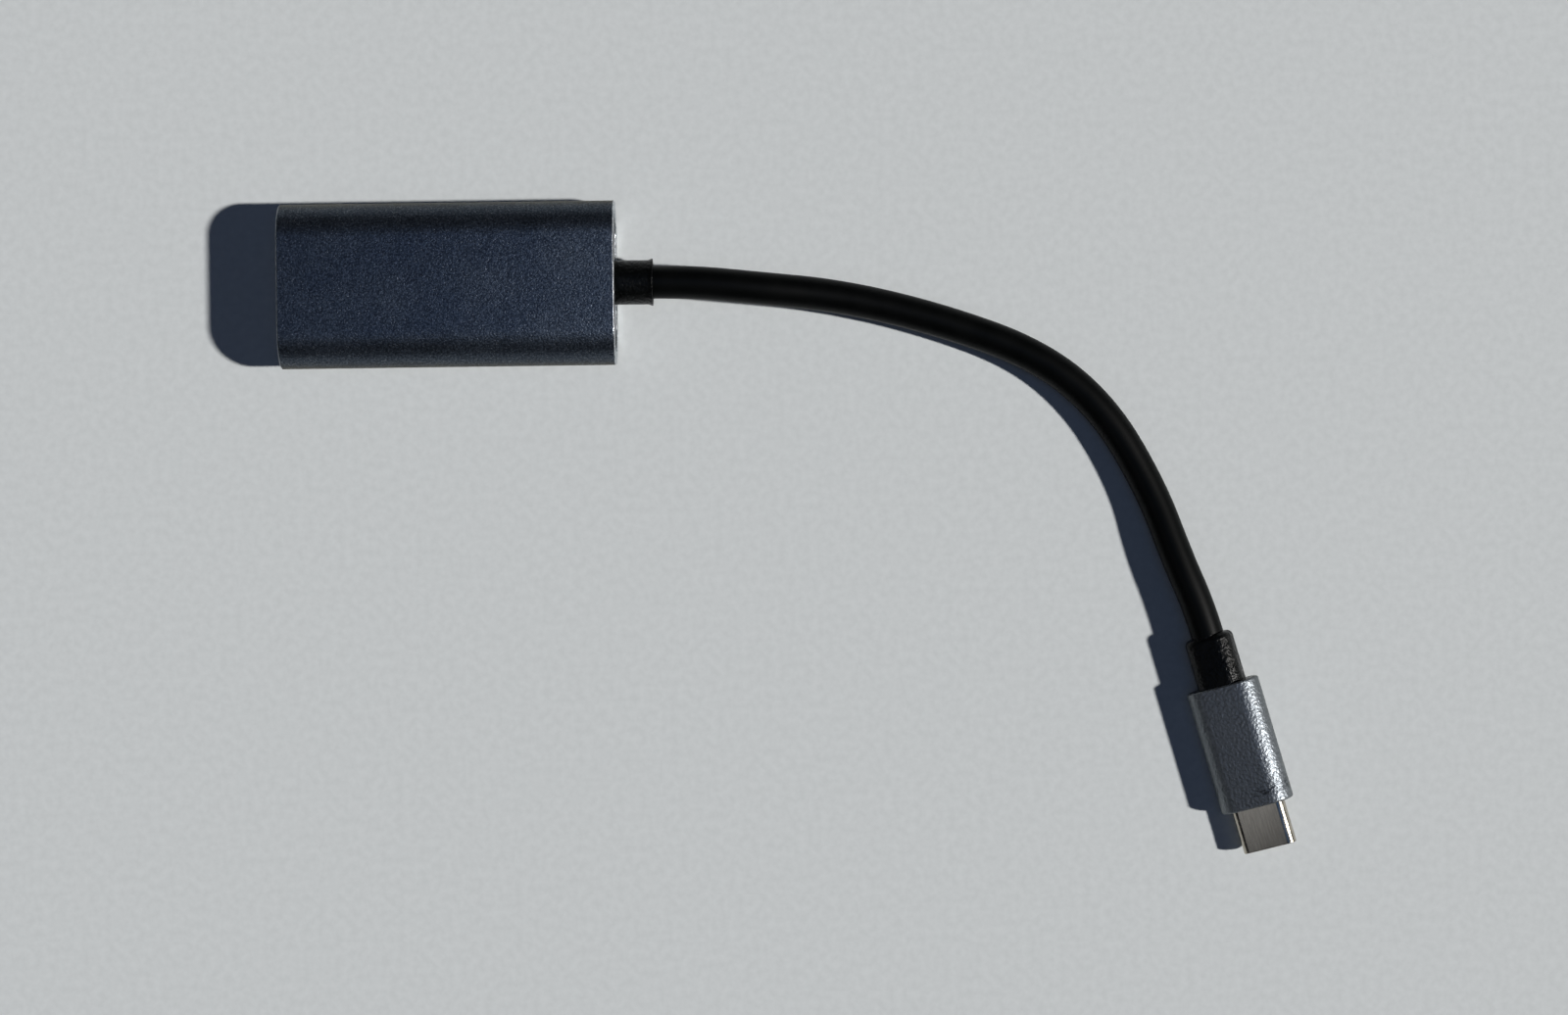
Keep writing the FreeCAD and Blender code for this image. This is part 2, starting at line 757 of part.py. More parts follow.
def make_converter_chip():
    block = new_box("chip_block", "chip_side", "chip_side", "chip_height", chip_x, "0", board_top)
    mark = doc.addObject("Part::Cylinder", "chip_mark")
    bind(mark, "Radius", "chip_mark_diameter / 2")
    bind(mark, "Height", "chip_height")
    corner = "(chip_side / 2 - chip_mark_inset)"
    move_to(mark, f"{chip_x} - {corner}", f"-{corner}", f"{board_top} + chip_height - chip_mark_depth")
    cut_by("converter_chip", block, mark)


def make_leaded_chip(label, size, leads, hand):
    """A moulded chip beside one of the board's rails, on bent leads along its two long sides."""
    body = new_body(label)
    half_span = f"({size}_width / 2 + lead_reach)"
    across = f"{hand} * (board_width / 2 - rail_grip - {size}_rail_gap - {half_span})"
    move_to(body, f"{board_end} - {size}_setback", across, board_top)
    block = new_sketch(body, "XY", "lead_thick / 2")
    half_length = f"{size}_length / 2"
    half_width = f"{size}_width / 2"
    draw_rectangle(block, f"-{half_length}", half_length, f"-{half_width}", half_width)
    pad(body, block, f"{size}_height - lead_thick / 2")
    for side in (1, -1):
        body_side = f"{side} * {half_width}"
        shoulder = f"{side} * ({half_width} + lead_shoulder)"
        ankle = f"{side} * ({half_width} + lead_shoulder + lead_thick)"
        toe = f"{side} * ({half_width} + lead_reach)"
        level = f"{size}_height / 2"
        corners = [
            (body_side, level), (shoulder, level), (shoulder, "0"), (toe, "0"),
            (toe, "lead_thick"), (ankle, "lead_thick"), (ankle, f"{level} + lead_thick"),
            (body_side, f"{level} + lead_thick"),
        ]
        sketch = new_sketch(body, "YZ", f"-{leads - 1} * {size}_pitch / 2")
        draw_polygon(sketch, corners)
        repeat(body, pad(body, sketch, "lead_width", both_ways=True), "X", leads, f"{size}_pitch")


def make_clock_crystal():
    """A small can on its base flange."""
    base = new_box(
        "crystal_foot", "crystal_length", "crystal_width", "crystal_base", crystal_x, "0", board_top,
    )
    lid = new_box(
        "crystal_lid", "crystal_length - 2 * crystal_flange", "crystal_width - 2 * crystal_flange",
        "crystal_height - crystal_base", crystal_x, "0", f"{board_top} + crystal_base",
    )
    join_solids("clock_crystal", [base, lid], "Part::MultiFuse")


def make_power_inductor():
    """A shielded coil: a square ferrite block with cut corners and a round lid let into its top."""
    body = new_body("power_inductor")
    move_to(body, f"{board_end} - inductor_setback", "inductor_y", board_top)
    half = "inductor_side / 2"
    cut = "(inductor_side / 2 - inductor_corner)"
    outline = new_sketch(body, "XY")
    right = [(cut, f"-{half}"), (half, f"-{cut}"), (half, cut), (cut, half)]
    left = [(f"-{cut}", half), (f"-{half}", cut), (f"-{half}", f"-{cut}"), (f"-{cut}", f"-{half}")]
    draw_polygon(outline, right + left)
    pad(body, outline, "inductor_height")
    ring = new_sketch(body, "XY", "inductor_height")
    draw_circle(ring, "inductor_ring / 2")
    draw_circle(ring, "inductor_ring / 2 - inductor_ring_width")
    pocket(body, ring, "inductor_ring_depth")


def make_small_parts(label, size, height, count, across):
    """Two rows of plain chip parts, one on each side of the large chip, each centred on it."""
    length = f"{size}_width" if across else f"{size}_length"
    width = f"{size}_length" if across else f"{size}_width"
    members = []
    for side in (1, -1):
        for i in range(count):
            x = f"{chip_x} + {i - (count - 1) / 2} * {size}_pitch"
            y = f"{side} * {size}_row"
            members.append(new_box(f"{size}_block", length, width, height, x, y, board_top))
    join_solids(label, members)


# Cable anchor inside the housing

def make_housing_boot():
    """Overmoulded boot: a flange behind the end cap, a neck through it and a flared, dished lip."""
    body = new_body("housing_boot")
    move_to(body, z=mid_height)
    bore = "cable_diameter / 2 + press_gap"
    side = "boot_diameter / 2"
    corners = [
        (flange_back, bore), (flange_back, flange_radius), (cap_inner, flange_radius),
        (cap_inner, "boot_neck / 2"), (cap_outer, "boot_neck / 2"), (cap_outer, side),
        (f"{boot_face} - boot_lip_length", side), (f"{boot_face} + boot_lip", f"{side} + boot_lip"),
        (boot_face, f"{bore} + boot_dish_gap"), (boot_face, bore),
    ]
    revolve(body, corners)


def make_braid_clamp():
    """A crimped ring that grips the cable behind the boot's flange, with a swaged waist."""
    body = new_body("braid_clamp")
    move_to(body, z=mid_height)
    bore = "cable_diameter / 2 + press_gap"
    outer = f"{bore} + clamp_wall"
    waist = f"{outer} - clamp_waist"
    start = f"{flange_back} - clamp_length"
    corners = [
        (start, bore), (start, outer), (f"{start} + clamp_land", outer),
        (f"{start} + clamp_land + clamp_slope", waist),
        (f"{flange_back} - clamp_land - clamp_slope", waist),
        (f"{flange_back} - clamp_land", outer), (flange_back, outer), (flange_back, bore),
    ]
    revolve(body, corners)


def pad_round(body, diameter, start, length):
    """A straight round stretch along the body's X axis."""
    sketch = new_sketch(body, "YZ", start)
    draw_circle(sketch, f"{diameter} / 2")
    return pad(body, sketch, length)


def make_cable_tail():
    """The cable's jacket from its free part, through the boot, to its stripped end."""
    body = new_body("cable_tail")
    move_to(body, z=mid_height)
    pad_round(body, "cable_diameter", tail_end, f"{boot_face} - {tail_end}")


def make_board_wires():
    """Soldered wires that fan out from the cable's end to a row of pads on the board."""
    diameter = amount("wire_diameter")
    start = amount(tail_end)
    land = amount(board_end)
    level = amount(board_top) + diameter / 2
    wires = []
    for i in range(BOARD_WIRE_COUNT):
        row = i - (BOARD_WIRE_COUNT - 1) / 2
        y = row * amount("wire_bundle_pitch")
        rise = amount("wire_bundle_rise") if i % 2 else -amount("wire_bundle_rise")
        z = amount(mid_height) + rise
        fan = row * amount("wire_pitch")
        lead = amount("wire_lead")
        points = [
            Vector(start, y, z), Vector(start - lead, y, z),
            Vector(land + lead, fan, level), Vector(land - amount("wire_land"), fan, level),
        ]
        wires.append(bent_wire(points, diameter))
    new_shape("board_wires", Part.makeCompound(wires))


# Free cable. Its two ends follow the pieces that they meet; the rest lies as in use, on a table.

def plug_height():
    """Height of the plug's axis when its rolled sleeve lies on the table."""
    return amount("sleeve_height / 2 + (sleeve_width - sleeve_height) / 2 * sin(plug_roll)")


def cable_route():
    rest = amount("cable_diameter / 2")
    exit_height = amount(mid_height)
    return [
        Vector(amount(boot_face), 0, exit_height),
        Vector(36.5, 0, exit_height),
        Vector(46.0, -1.0, 5.2),
        Vector(59.0, -2.3, 3.5),
        Vector(73.4, -5.8, rest),
        Vector(88.9, -11.5, rest),
        Vector(98.8, -19.8, rest),
        Vector(105.8, -32.1, rest),
        Vector(109.5, -42.6, 3.6),
        Vector(112.73, -50.26, plug_height()),
        Vector(113.9, -54.4, plug_height()),
    ]


def make_cable():
    points = cable_route()
    path = tangent_path(points)
    cable = swept(path, points, amount("cable_diameter"), SMOOTH)
    print("cable length", round(path.Length, 2), "volume", round(cable.Volume, 1))
    new_shape("cable", cable)


# Plug. Its pieces are drawn along X from the cable end of the boot, then laid at the cable's end.

def plug_placement():
    route = cable_route()
    along = route[-1] - route[-2]
    heading = math.degrees(math.atan2(along.y, along.x))
    return FreeCAD.Placement(route[-1], FreeCAD.Rotation(heading, 0, amount("plug_roll")))


def new_plug_body(label):
    body = new_body(label)
    body.Placement = plug_placement()
    return body


def pad_stadium(body, width, height, start, length):
    sketch = new_sketch(body, "YZ", start)
    draw_stadium(sketch, width, height)
    return pad(body, sketch, length)


def bore_stadium(body, width, height, start, depth):
    """A stadium hole from a place along the plug towards the nose."""
    sketch = new_sketch(body, "YZ", start)
    draw_stadium(sketch, width, height)
    return pocket(body, sketch, depth, forward=True)


def make_plug_boot():
    """Moulded grip with rounded cable end, and the anchor plate that it forms inside the sleeve."""
    body = new_plug_body("plug_boot")
    grip = new_sketch(body, "YZ")
    draw_rounded_box(grip, "plug_boot_width", "plug_boot_height", "plug_boot_corner")
    pad(body, grip, "plug_boot_length")
    dress(body, "Fillet", lambda edge: lies_at(edge, 0), "plug_boot_edge")
    width = f"{sleeve_bore_width} - 2 * press_gap"
    height = f"{sleeve_bore_height} - 2 * press_gap"
    pad_stadium(body, width, height, "plug_boot_length", "anchor_length")
    bore = new_sketch(body, "YZ")
    draw_circle(bore, "cable_diameter / 2 + press_gap")
    pocket(body, bore, "plug_boot_length", forward=True)
    bore_stadium(body, "anchor_hole_width", "anchor_hole_height", "plug_boot_length", "anchor_length")


def make_plug_cable_tail():
    body = new_plug_body("plug_cable_tail")
    pad_round(body, "cable_diameter", "0", "plug_boot_length")


def make_plug_sleeve():
    body = new_plug_body("plug_sleeve")
    pad_stadium(body, "sleeve_width", "sleeve_height", "plug_boot_length", "sleeve_length")
    bore_stadium(body, sleeve_bore_width, sleeve_bore_height, "plug_boot_length", "sleeve_length")
    ends = (amount("plug_boot_length"), amount(sleeve_front))
    dress(body, "Chamfer", lambda edge: any(lies_at(edge, x) for x in ends), "sleeve_edge")


def make_plug_inner_mould():
    """The plastic core of the sleeve: a cup round the shield can, with a slot for the nose."""
    body = new_plug_body("plug_inner_mould")
    width = f"{sleeve_bore_width} - 2 * press_gap"
    height = f"{sleeve_bore_height} - 2 * press_gap"
    pad_stadium(body, width, height, anchor_front, f"{mould_front} - {anchor_front}")
    gap = "+ 2 * press_gap"
    can_depth = f"{can_front} - {anchor_front}"
    bore_stadium(body, f"can_width {gap}", f"can_height {gap}", anchor_front, can_depth)
    full_depth = f"{mould_front} - {anchor_front}"
    bore_stadium(body, f"nose_width {gap}", f"nose_height {gap}", anchor_front, full_depth)


def make_plug_shield_can():
    body = new_plug_body("plug_shield_can")
    start = f"({can_front} - can_length)"
    pad_stadium(body, "can_width", "can_height", start, "can_length")
    walls = "- 2 * can_wall"
    bore_stadium(body, f"can_width {walls}", f"can_height {walls}", start, "can_length - can_wall")
    gap = "+ 2 * press_gap"
    bore_stadium(body, f"nose_width {gap}", f"nose_height {gap}", start, "2 * can_length")


def make_plug_nose_shell():
    """Drawn steel shell of the plug's nose, open at both ends, with a rounded mouth."""
    body = new_plug_body("plug_nose_shell")
    pad_stadium(body, "nose_width", "nose_height", nose_back, "nose_length + nose_root")
    bore_stadium(body, "nose_width - 2 * nose_wall", "nose_height - 2 * nose_wall", nose_back,
                 "2 * nose_length + nose_root")
    tip = amount(nose_tip)
    outer = amount("nose_height / 2")

    def outer_lip(edge):
        reach = max(edge.BoundBox.ZMax, -edge.BoundBox.ZMin)
        return lies_at(edge, tip) and reach > outer - NEAR
    dress(body, "Fillet", outer_lip, "nose_edge")


def make_plug_contacts():
    """Straight contact strips above and below the mouth of the plug, ending on the paddle board."""
    body = new_plug_body("plug_contacts")
    start = f"{nose_back} - plug_contact_tail"
    stop = f"{insulator_front} - plug_contact_recess"
    near = "paddle_thick / 2"
    far = "paddle_thick / 2 + plug_contact_thick"
    pitch = "plug_contact_pitch"
    outer = f"{PLUG_CONTACT_COUNT - 1} * {pitch} / 2"
    # The lower row has no contacts at its middle places
    half_row = (PLUG_CONTACT_COUNT - PLUG_SKIPPED_COUNT) // 2
    rows = [
        (outer, near, far, PLUG_CONTACT_COUNT),
        (outer, f"-({far})", f"-({near})", half_row),
        (f"-{PLUG_SKIPPED_COUNT + 1} * {pitch} / 2", f"-({far})", f"-({near})", half_row),
    ]
    for first, low, high, count in rows:
        sketch = new_sketch(body, "XZ", first)
        draw_rectangle(sketch, start, stop, low, high)
        repeat(body, pad(body, sketch, "plug_contact_width", both_ways=True), "Y", count, pitch)
    return body


def make_plug_latch_springs():
    """Two side springs whose hooks reach into the mouth and hold the plug in a port."""
    body = new_plug_body("plug_latch_springs")
    outer = f"({insulator_width} / 2 - latch_inset)"
    back = f"({insulator_front} - plug_contact_recess - latch_length)"
    front = f"({insulator_front} - plug_contact_recess)"
    inner = f"({outer} - latch_thick)"
    row = f"({PLUG_CONTACT_COUNT - 1} * plug_contact_pitch + plug_contact_width)"
    hook = f"({row} / 2 + latch_gap)"
    crest = f"({front} - latch_hook_ramp)"
    plan = new_sketch(body, "XY")
    for side in (1, -1):
        outline = [
            (back, outer), (back, inner), (f"{crest} - latch_hook_land - latch_hook_ramp", inner),
            (f"{crest} - latch_hook_land", hook), (crest, hook), (front, inner), (front, outer),
        ]
        draw_polygon(plan, [(x, f"{side} * ({y})") for x, y in outline])
    pad(body, plan, "latch_height", both_ways=True)
    return body


def pad_plate(body, start, length, width, low, thick):
    """A flat rectangular plate along the plug's axis."""
    plan = new_sketch(body, "XY", low)
    draw_rectangle(plan, start, f"{start} + {length}", f"-{width} / 2", f"{width} / 2")
    return pad(body, plan, thick)


def make_plug_ground_springs():
    """Thin shield springs let into the insulator, one above and one below the mouth."""
    body = new_plug_body("plug_ground_springs")
    start = f"({insulator_front} - ground_spring_setback - ground_spring_length)"
    for level in (f"{insulator_height} / 2 - ground_spring_thick", f"-{insulator_height} / 2"):
        pad_plate(body, start, "ground_spring_length", "ground_spring_width", level, "ground_spring_thick")
    return body


def make_plug_insulator(*held):
    body = new_plug_body("plug_insulator_block")
    pad_stadium(body, insulator_width, insulator_height, nose_back, f"{insulator_front} - {nose_back}")
    cavity = new_sketch(body, "YZ", insulator_front)
    half_height = f"{cavity_height} / 2"
    draw_rectangle(cavity, "-cavity_width / 2", "cavity_width / 2", f"-{half_height}", half_height)
    pocket(body, cavity, "cavity_depth")
    cut_by("plug_insulator", body, *held)


def make_plug_board():
    board = new_plug_body("plug_board")
    start = f"({nose_back} - press_gap - paddle_length)"
    width = "(can_width - 2 * can_wall - 2 * paddle_gap)"
    pad_plate(board, start, "paddle_length", width, "-paddle_thick / 2", "paddle_thick")
    marker = new_plug_body("plug_marker_chip")
    back = f"({start} + marker_place - marker_side / 2)"
    pad_plate(marker, back, "marker_side", "marker_side", "paddle_thick / 2", "marker_height")


def make_plug_wires():
    """Soldered wires from the cable's end to both faces of the paddle board."""
    diameter = amount("plug_wire_diameter")
    start = amount("plug_boot_length")
    land = amount(f"{nose_back} - press_gap - paddle_length")
    wires = []
    for side in (1, -1):
        for i in range(PLUG_WIRE_COUNT):
            row = i - (PLUG_WIRE_COUNT - 1) / 2
            near = row * amount("plug_wire_spread")
            fan = row * amount("plug_wire_fan")
            lift = side * amount("plug_wire_lift")
            level = side * (amount("paddle_thick") + diameter) / 2
            points = [
                Vector(start, near, lift), Vector(start + amount("plug_wire_lead"), near, lift),
                Vector(land, fan, level), Vector(land + amount("plug_wire_land"), fan, level),
            ]
            wires.append(bent_wire(points, diameter))
    new_shape("plug_wires", Part.makeCompound(wires), plug_placement())


# Build

make_housing_sleeve()
make_port_end_cap()
make_cable_end_cap()
make_main_board()
make_socket_shell()
make_socket_tongue(make_socket_contacts())
make_converter_chip()
make_leaded_chip("memory_chip", "memory", MEMORY_LEAD_COUNT, hand=-1)
make_leaded_chip("regulator_chip", "regulator", REGULATOR_LEAD_COUNT, hand=1)
make_clock_crystal()
make_power_inductor()
make_small_parts("ceramic_capacitors", "capacitor", "capacitor_width", CAPACITOR_ROW_COUNT, across=True)
make_small_parts("chip_resistors", "resistor", "resistor_height", RESISTOR_ROW_COUNT, across=False)
make_housing_boot()
make_braid_clamp()
make_cable_tail()
make_board_wires()
make_cable()
make_plug_boot()
make_plug_cable_tail()
make_plug_sleeve()
make_plug_inner_mould()
make_plug_shield_can()
make_plug_nose_shell()
plug_contacts = make_plug_contacts()
latch_springs = make_plug_latch_springs()
ground_springs = make_plug_ground_springs()
make_plug_insulator(plug_contacts, latch_springs, ground_springs)
make_plug_board()
make_plug_wires()
doc.recompute()

NODES = [
    "housing_sleeve", "port_end_cap", "cable_end_cap", "main_board", "socket_shell", "socket_tongue",
    "socket_contacts", "converter_chip", "memory_chip", "regulator_chip", "clock_crystal", "power_inductor",
    "ceramic_capacitors", "chip_resistors", "housing_boot", "braid_clamp", "cable_tail", "board_wires",
    "cable", "plug_boot", "plug_cable_tail", "plug_sleeve", "plug_inner_mould", "plug_shield_can",
    "plug_nose_shell", "plug_insulator", "plug_contacts", "plug_latch_springs", "plug_ground_springs",
    "plug_board", "plug_marker_chip", "plug_wires",
]

for thing in doc.Objects:
    if "Invalid" in thing.State or "Error" in thing.State:
        raise RuntimeError(f"{thing.Name} failed: {thing.State}")

os.makedirs("parts", exist_ok=True)
for node in NODES:
    piece = doc.getObjectsByLabel(node)[0]
    shape = piece.Shape
    if shape.isNull() or not shape.isValid() or not shape.Solids:
        raise RuntimeError(f"{node} isn't a valid solid")
    shape.exportStep(f"parts/{node}.step")
    print(node, "solids", len(shape.Solids), "volume", round(shape.Volume, 2))
print("nodes", len(NODES))
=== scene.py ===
import math

import bmesh
import bpy
from mathutils import Matrix, Vector


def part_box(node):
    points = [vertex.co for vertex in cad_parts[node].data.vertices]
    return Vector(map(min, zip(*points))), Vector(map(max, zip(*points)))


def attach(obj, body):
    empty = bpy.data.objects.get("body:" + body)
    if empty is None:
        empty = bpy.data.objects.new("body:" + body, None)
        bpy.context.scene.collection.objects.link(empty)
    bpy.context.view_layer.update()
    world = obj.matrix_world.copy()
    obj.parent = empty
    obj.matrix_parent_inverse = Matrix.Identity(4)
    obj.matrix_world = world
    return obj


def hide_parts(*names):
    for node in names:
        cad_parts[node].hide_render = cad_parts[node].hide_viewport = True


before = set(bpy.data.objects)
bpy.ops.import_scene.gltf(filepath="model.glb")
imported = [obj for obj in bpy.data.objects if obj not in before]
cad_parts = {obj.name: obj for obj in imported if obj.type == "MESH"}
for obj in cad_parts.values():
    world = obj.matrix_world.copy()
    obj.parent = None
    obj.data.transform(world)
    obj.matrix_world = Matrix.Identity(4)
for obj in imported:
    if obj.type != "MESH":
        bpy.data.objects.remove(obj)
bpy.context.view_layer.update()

scene = bpy.context.scene
mm = 0.001                  # sizes below are in millimetres unless a note says otherwise
weldGap = 1e-7              # metres: two points closer than this are one
print("frame loaded:", len(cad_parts), "nodes")


# Camera, first: straight down, as the photograph was taken
cameraSetup = {
    "place": (0.050155, -0.034228, 0.552),      # metres
    "turn": -0.77,                              # degrees about the line of sight
    "lens": 83.25,
    "sensor": 36.0,
    "near": 0.01, "far": 20.0,                  # metres
}


def addCamera():
    data = bpy.data.cameras.new("photoCamera")
    data.lens = cameraSetup["lens"]
    data.sensor_width = cameraSetup["sensor"]
    data.clip_start = cameraSetup["near"]
    data.clip_end = cameraSetup["far"]
    camera = bpy.data.objects.new("photoCamera", data)
    camera.location = cameraSetup["place"]
    camera.rotation_euler = (0, 0, math.radians(cameraSetup["turn"]))
    scene.collection.objects.link(camera)
    scene.camera = camera


addCamera()
print("camera placed")


# Small tools for node trees
def toLinear(code):
    # an sRGB hex colour as the linear RGBA that shaders work in
    parts = [int(code[i:i + 2], 16) / 255 for i in (1, 3, 5)]
    linear = [part / 12.92 if part <= 0.04045 else ((part + 0.055) / 1.055) ** 2.4 for part in parts]
    return (*linear, 1.0)


def perMm(size):
    # the texture scale that makes a pattern's cells this many millimetres wide
    return 1 / (size * mm)


def addNode(tree, kind, inputs=None, **settings):
    # a node with its settings; each input is a number, a colour or another node's output
    node = tree.nodes.new(kind)
    for name, value in settings.items():
        setattr(node, name, value)
    for socket, value in (inputs or {}).items():
        if isinstance(value, bpy.types.NodeSocket):
            tree.links.new(value, node.inputs[socket])
        else:
            node.inputs[socket].default_value = value
    return node


def newMaterial(name):
    material = bpy.data.materials.new(name)
    material.use_nodes = True
    tree = material.node_tree
    tree.nodes.clear()
    output = addNode(tree, "ShaderNodeOutputMaterial")
    shader = addNode(tree, "ShaderNodeBsdfPrincipled")
    tree.links.new(shader.outputs["BSDF"], output.inputs["Surface"])
    return material, tree, shader


def setColours(ramp, stops):
    # stops are (place, hex colour) from dark to light
    elements = ramp.color_ramp.elements
    while len(elements) < len(stops):
        elements.new(0.5)
    for element, (place, code) in zip(elements, stops):
        element.position = place
        element.color = toLinear(code)


# Materials. Each starts from what the real one is.
noiseLow, noiseHigh = 0.3, 0.7      # most of a noise's values lie between these
plainDetail = 2.0                   # octaves of a noise that needs no fine detail


def surfacePlace(tree, local):
    # plug pieces carry their own straight axes in the attribute "place", others use the object's
    if local:
        return addNode(tree, "ShaderNodeAttribute", attribute_name="place").outputs["Vector"]
    return addNode(tree, "ShaderNodeTexCoord").outputs["Object"]


anodisedLooks = {
    # stops are the dye's colours; the bright fleck colour is painted glints, highlights of the blasted
    # dimples put into the colour; edge tints what the metal mirrors at a grazing look
    "housingAnodised": {
        "stops": [(0.34, "#373e4a"), (0.50, "#4b5460"), (0.68, "#656f7d")],
        "paintedGlint": "#9097a2", "paintedGlintShare": 0.20, "paintedGlintSize": 0.20,
        "grain": 0.30, "detail": 2.0, "relief": 0.07, "roughness": (0.38, 0.44),
        "edge": "#e6decb", "local": False, "scuffed": False,
    },
    "plugAnodised": {
        "stops": [(0.30, "#777c81"), (0.52, "#7d8287"), (0.74, "#83888d")],
        "paintedGlint": "#9aa1ab", "paintedGlintShare": 0.03, "paintedGlintSize": 0.24,
        "grain": 0.44, "detail": 0.8, "relief": 0.13, "roughness": (0.45, 0.49),
        "edge": "#f9f9f1", "local": True, "scuffed": True,
    },
}

blasting = {
    "finer": 0.65,              # how much of the grain is finer still
    "cloud": 9,                 # how wide the slow changes of gloss are
    "paintedGlintReach": 0.42,         # how far a painted glint fills its cell
}

scuff = {
    # where the plug is rubbed near its mouth, along and across its own axes
    "start": 22.0, "deepest": 24.6, "stop": 25.3, "inner": -1.2, "outer": 1.4,
    "size": 0.50, "squeeze": (1.7, 0.5, 1.0), "detail": 4.0, "finer": 0.7, "colour": "#23262c",
    "share": 0.21,                  # how much the rubbed area raises the noise
    "first": 0.66, "last": 0.78,    # the noise at which a mark starts, and at which it is full
    "most": 0.75,                   # how much of the colour a full mark takes
}


def scuffMask(tree, place):
    # how far the surface is rubbed, from 0 to 1: dark scratches that grow denser towards the mouth
    axes = addNode(tree, "ShaderNodeSeparateXYZ", {"Vector": place})
    rising = addNode(tree, "ShaderNodeMapRange", {
        "Value": axes.outputs["X"], "From Min": scuff["start"] * mm, "From Max": scuff["deepest"] * mm,
        "To Min": 0.0, "To Max": 1.0})
    before = addNode(tree, "ShaderNodeMath", {
        0: axes.outputs["X"], 1: scuff["stop"] * mm}, operation="LESS_THAN")
    across = addNode(tree, "ShaderNodeMapRange", {
        "Value": axes.outputs["Y"], "From Min": scuff["inner"] * mm, "From Max": scuff["outer"] * mm,
        "To Min": 0.0, "To Max": 1.0})
    drawn = addNode(tree, "ShaderNodeMapping", {"Vector": place, "Scale": scuff["squeeze"]})
    marks = addNode(tree, "ShaderNodeTexNoise", {
        "Vector": drawn.outputs[0], "Scale": perMm(scuff["size"]),
        "Detail": scuff["detail"], "Roughness": scuff["finer"]})
    within = addNode(tree, "ShaderNodeMath", {
        0: rising.outputs[0], 1: across.outputs[0]}, operation="MULTIPLY")
    ended = addNode(tree, "ShaderNodeMath", {
        0: within.outputs[0], 1: before.outputs[0]}, operation="MULTIPLY")
    ground = addNode(tree, "ShaderNodeMath", {0: ended.outputs[0], 1: scuff["share"]}, operation="MULTIPLY")
    raised = addNode(tree, "ShaderNodeMath", {
        0: marks.outputs["Fac"], 1: ground.outputs[0]}, operation="ADD")
    mask = addNode(tree, "ShaderNodeMapRange", {
        "Value": raised.outputs[0], "From Min": scuff["first"], "From Max": scuff["last"],
        "To Min": 0.0, "To Max": scuff["most"]})
    return mask.outputs[0]


def anodisedAluminium(name):
    # bead-blasted, then anodised: a dark metal whose fine dimples glitter as separate grains. The glitter is
    # painted: bright flecks mixed into the colour are painted glints.
    # the real grit is about 0.1 mm; it is drawn three to four times as coarse, to show in the picture
    look = anodisedLooks[name]
    material, tree, shader = newMaterial(name)
    place = surfacePlace(tree, look["local"])
    grain = addNode(tree, "ShaderNodeTexNoise", {
        "Vector": place, "Scale": perMm(look["grain"]),
        "Detail": look["detail"], "Roughness": blasting["finer"]})
    cloud = addNode(tree, "ShaderNodeTexNoise", {
        "Vector": place, "Scale": perMm(blasting["cloud"]), "Detail": plainDetail})
    # painted glints: a few cells, lightened in the colour, stand in for the highlights of the blasted dimples
    cells = addNode(tree, "ShaderNodeTexVoronoi", {"Vector": place, "Scale": perMm(look["paintedGlintSize"])})
    chosen = addNode(tree, "ShaderNodeSeparateColor", {"Color": cells.outputs["Color"]})
    isPaintedGlint = addNode(tree, "ShaderNodeMath", {
        0: chosen.outputs["Red"], 1: 1 - look["paintedGlintShare"]}, operation="GREATER_THAN")
    nearMiddle = addNode(tree, "ShaderNodeMath", {
        0: cells.outputs["Distance"], 1: blasting["paintedGlintReach"]}, operation="LESS_THAN")
    paintedGlint = addNode(tree, "ShaderNodeMath", {
        0: isPaintedGlint.outputs[0], 1: nearMiddle.outputs[0]}, operation="MULTIPLY")
    paintedGlintAmount = addNode(tree, "ShaderNodeMath", {
        0: paintedGlint.outputs[0], 1: chosen.outputs["Green"]}, operation="MULTIPLY")
    ramp = addNode(tree, "ShaderNodeValToRGB", {"Fac": grain.outputs["Fac"]})
    setColours(ramp, look["stops"])
    colour = addNode(tree, "ShaderNodeMix", {
        "Factor": paintedGlintAmount.outputs[0], 6: ramp.outputs["Color"], 7: toLinear(look["paintedGlint"])}, data_type="RGBA")
    if look["scuffed"]:
        colour = addNode(tree, "ShaderNodeMix", {
            "Factor": scuffMask(tree, place), 6: colour.outputs[2],
            7: toLinear(scuff["colour"])}, data_type="RGBA")
    gloss = addNode(tree, "ShaderNodeMapRange", {
        "Value": cloud.outputs["Fac"], "From Min": noiseLow, "From Max": noiseHigh,
        "To Min": look["roughness"][0], "To Max": look["roughness"][1]})
    bump = addNode(tree, "ShaderNodeBump", {
        "Height": grain.outputs["Fac"], "Strength": 1.0, "Distance": look["relief"] * mm})
    tree.links.new(colour.outputs[2], shader.inputs["Base Color"])
    tree.links.new(gloss.outputs[0], shader.inputs["Roughness"])
    tree.links.new(bump.outputs[0], shader.inputs["Normal"])
    shader.inputs["Metallic"].default_value = 1.0
    shader.inputs["Specular Tint"].default_value = toLinear(look["edge"])
    return material


cutting = {
    "marks": 0.45, "detail": 3.0, "finer": 0.7,     # size of the tool marks and how fine they get
    "relief": 0.02, "strength": 0.5,
}

cutLooks = {
    # name: stops of the colour, roughness
    "brightCutAluminium": ([(0.32, "#868c92"), (0.50, "#b9bec3"), (0.66, "#eef1f3")], 0.24),
    # the port end's rim: the same cut metal made darker, painted shade on the end that faces away from the
    # key light
    "paintedShadeCutAluminium": ([(0.32, "#4f545b"), (0.50, "#666b72"), (0.66, "#858a90")], 0.36),
}


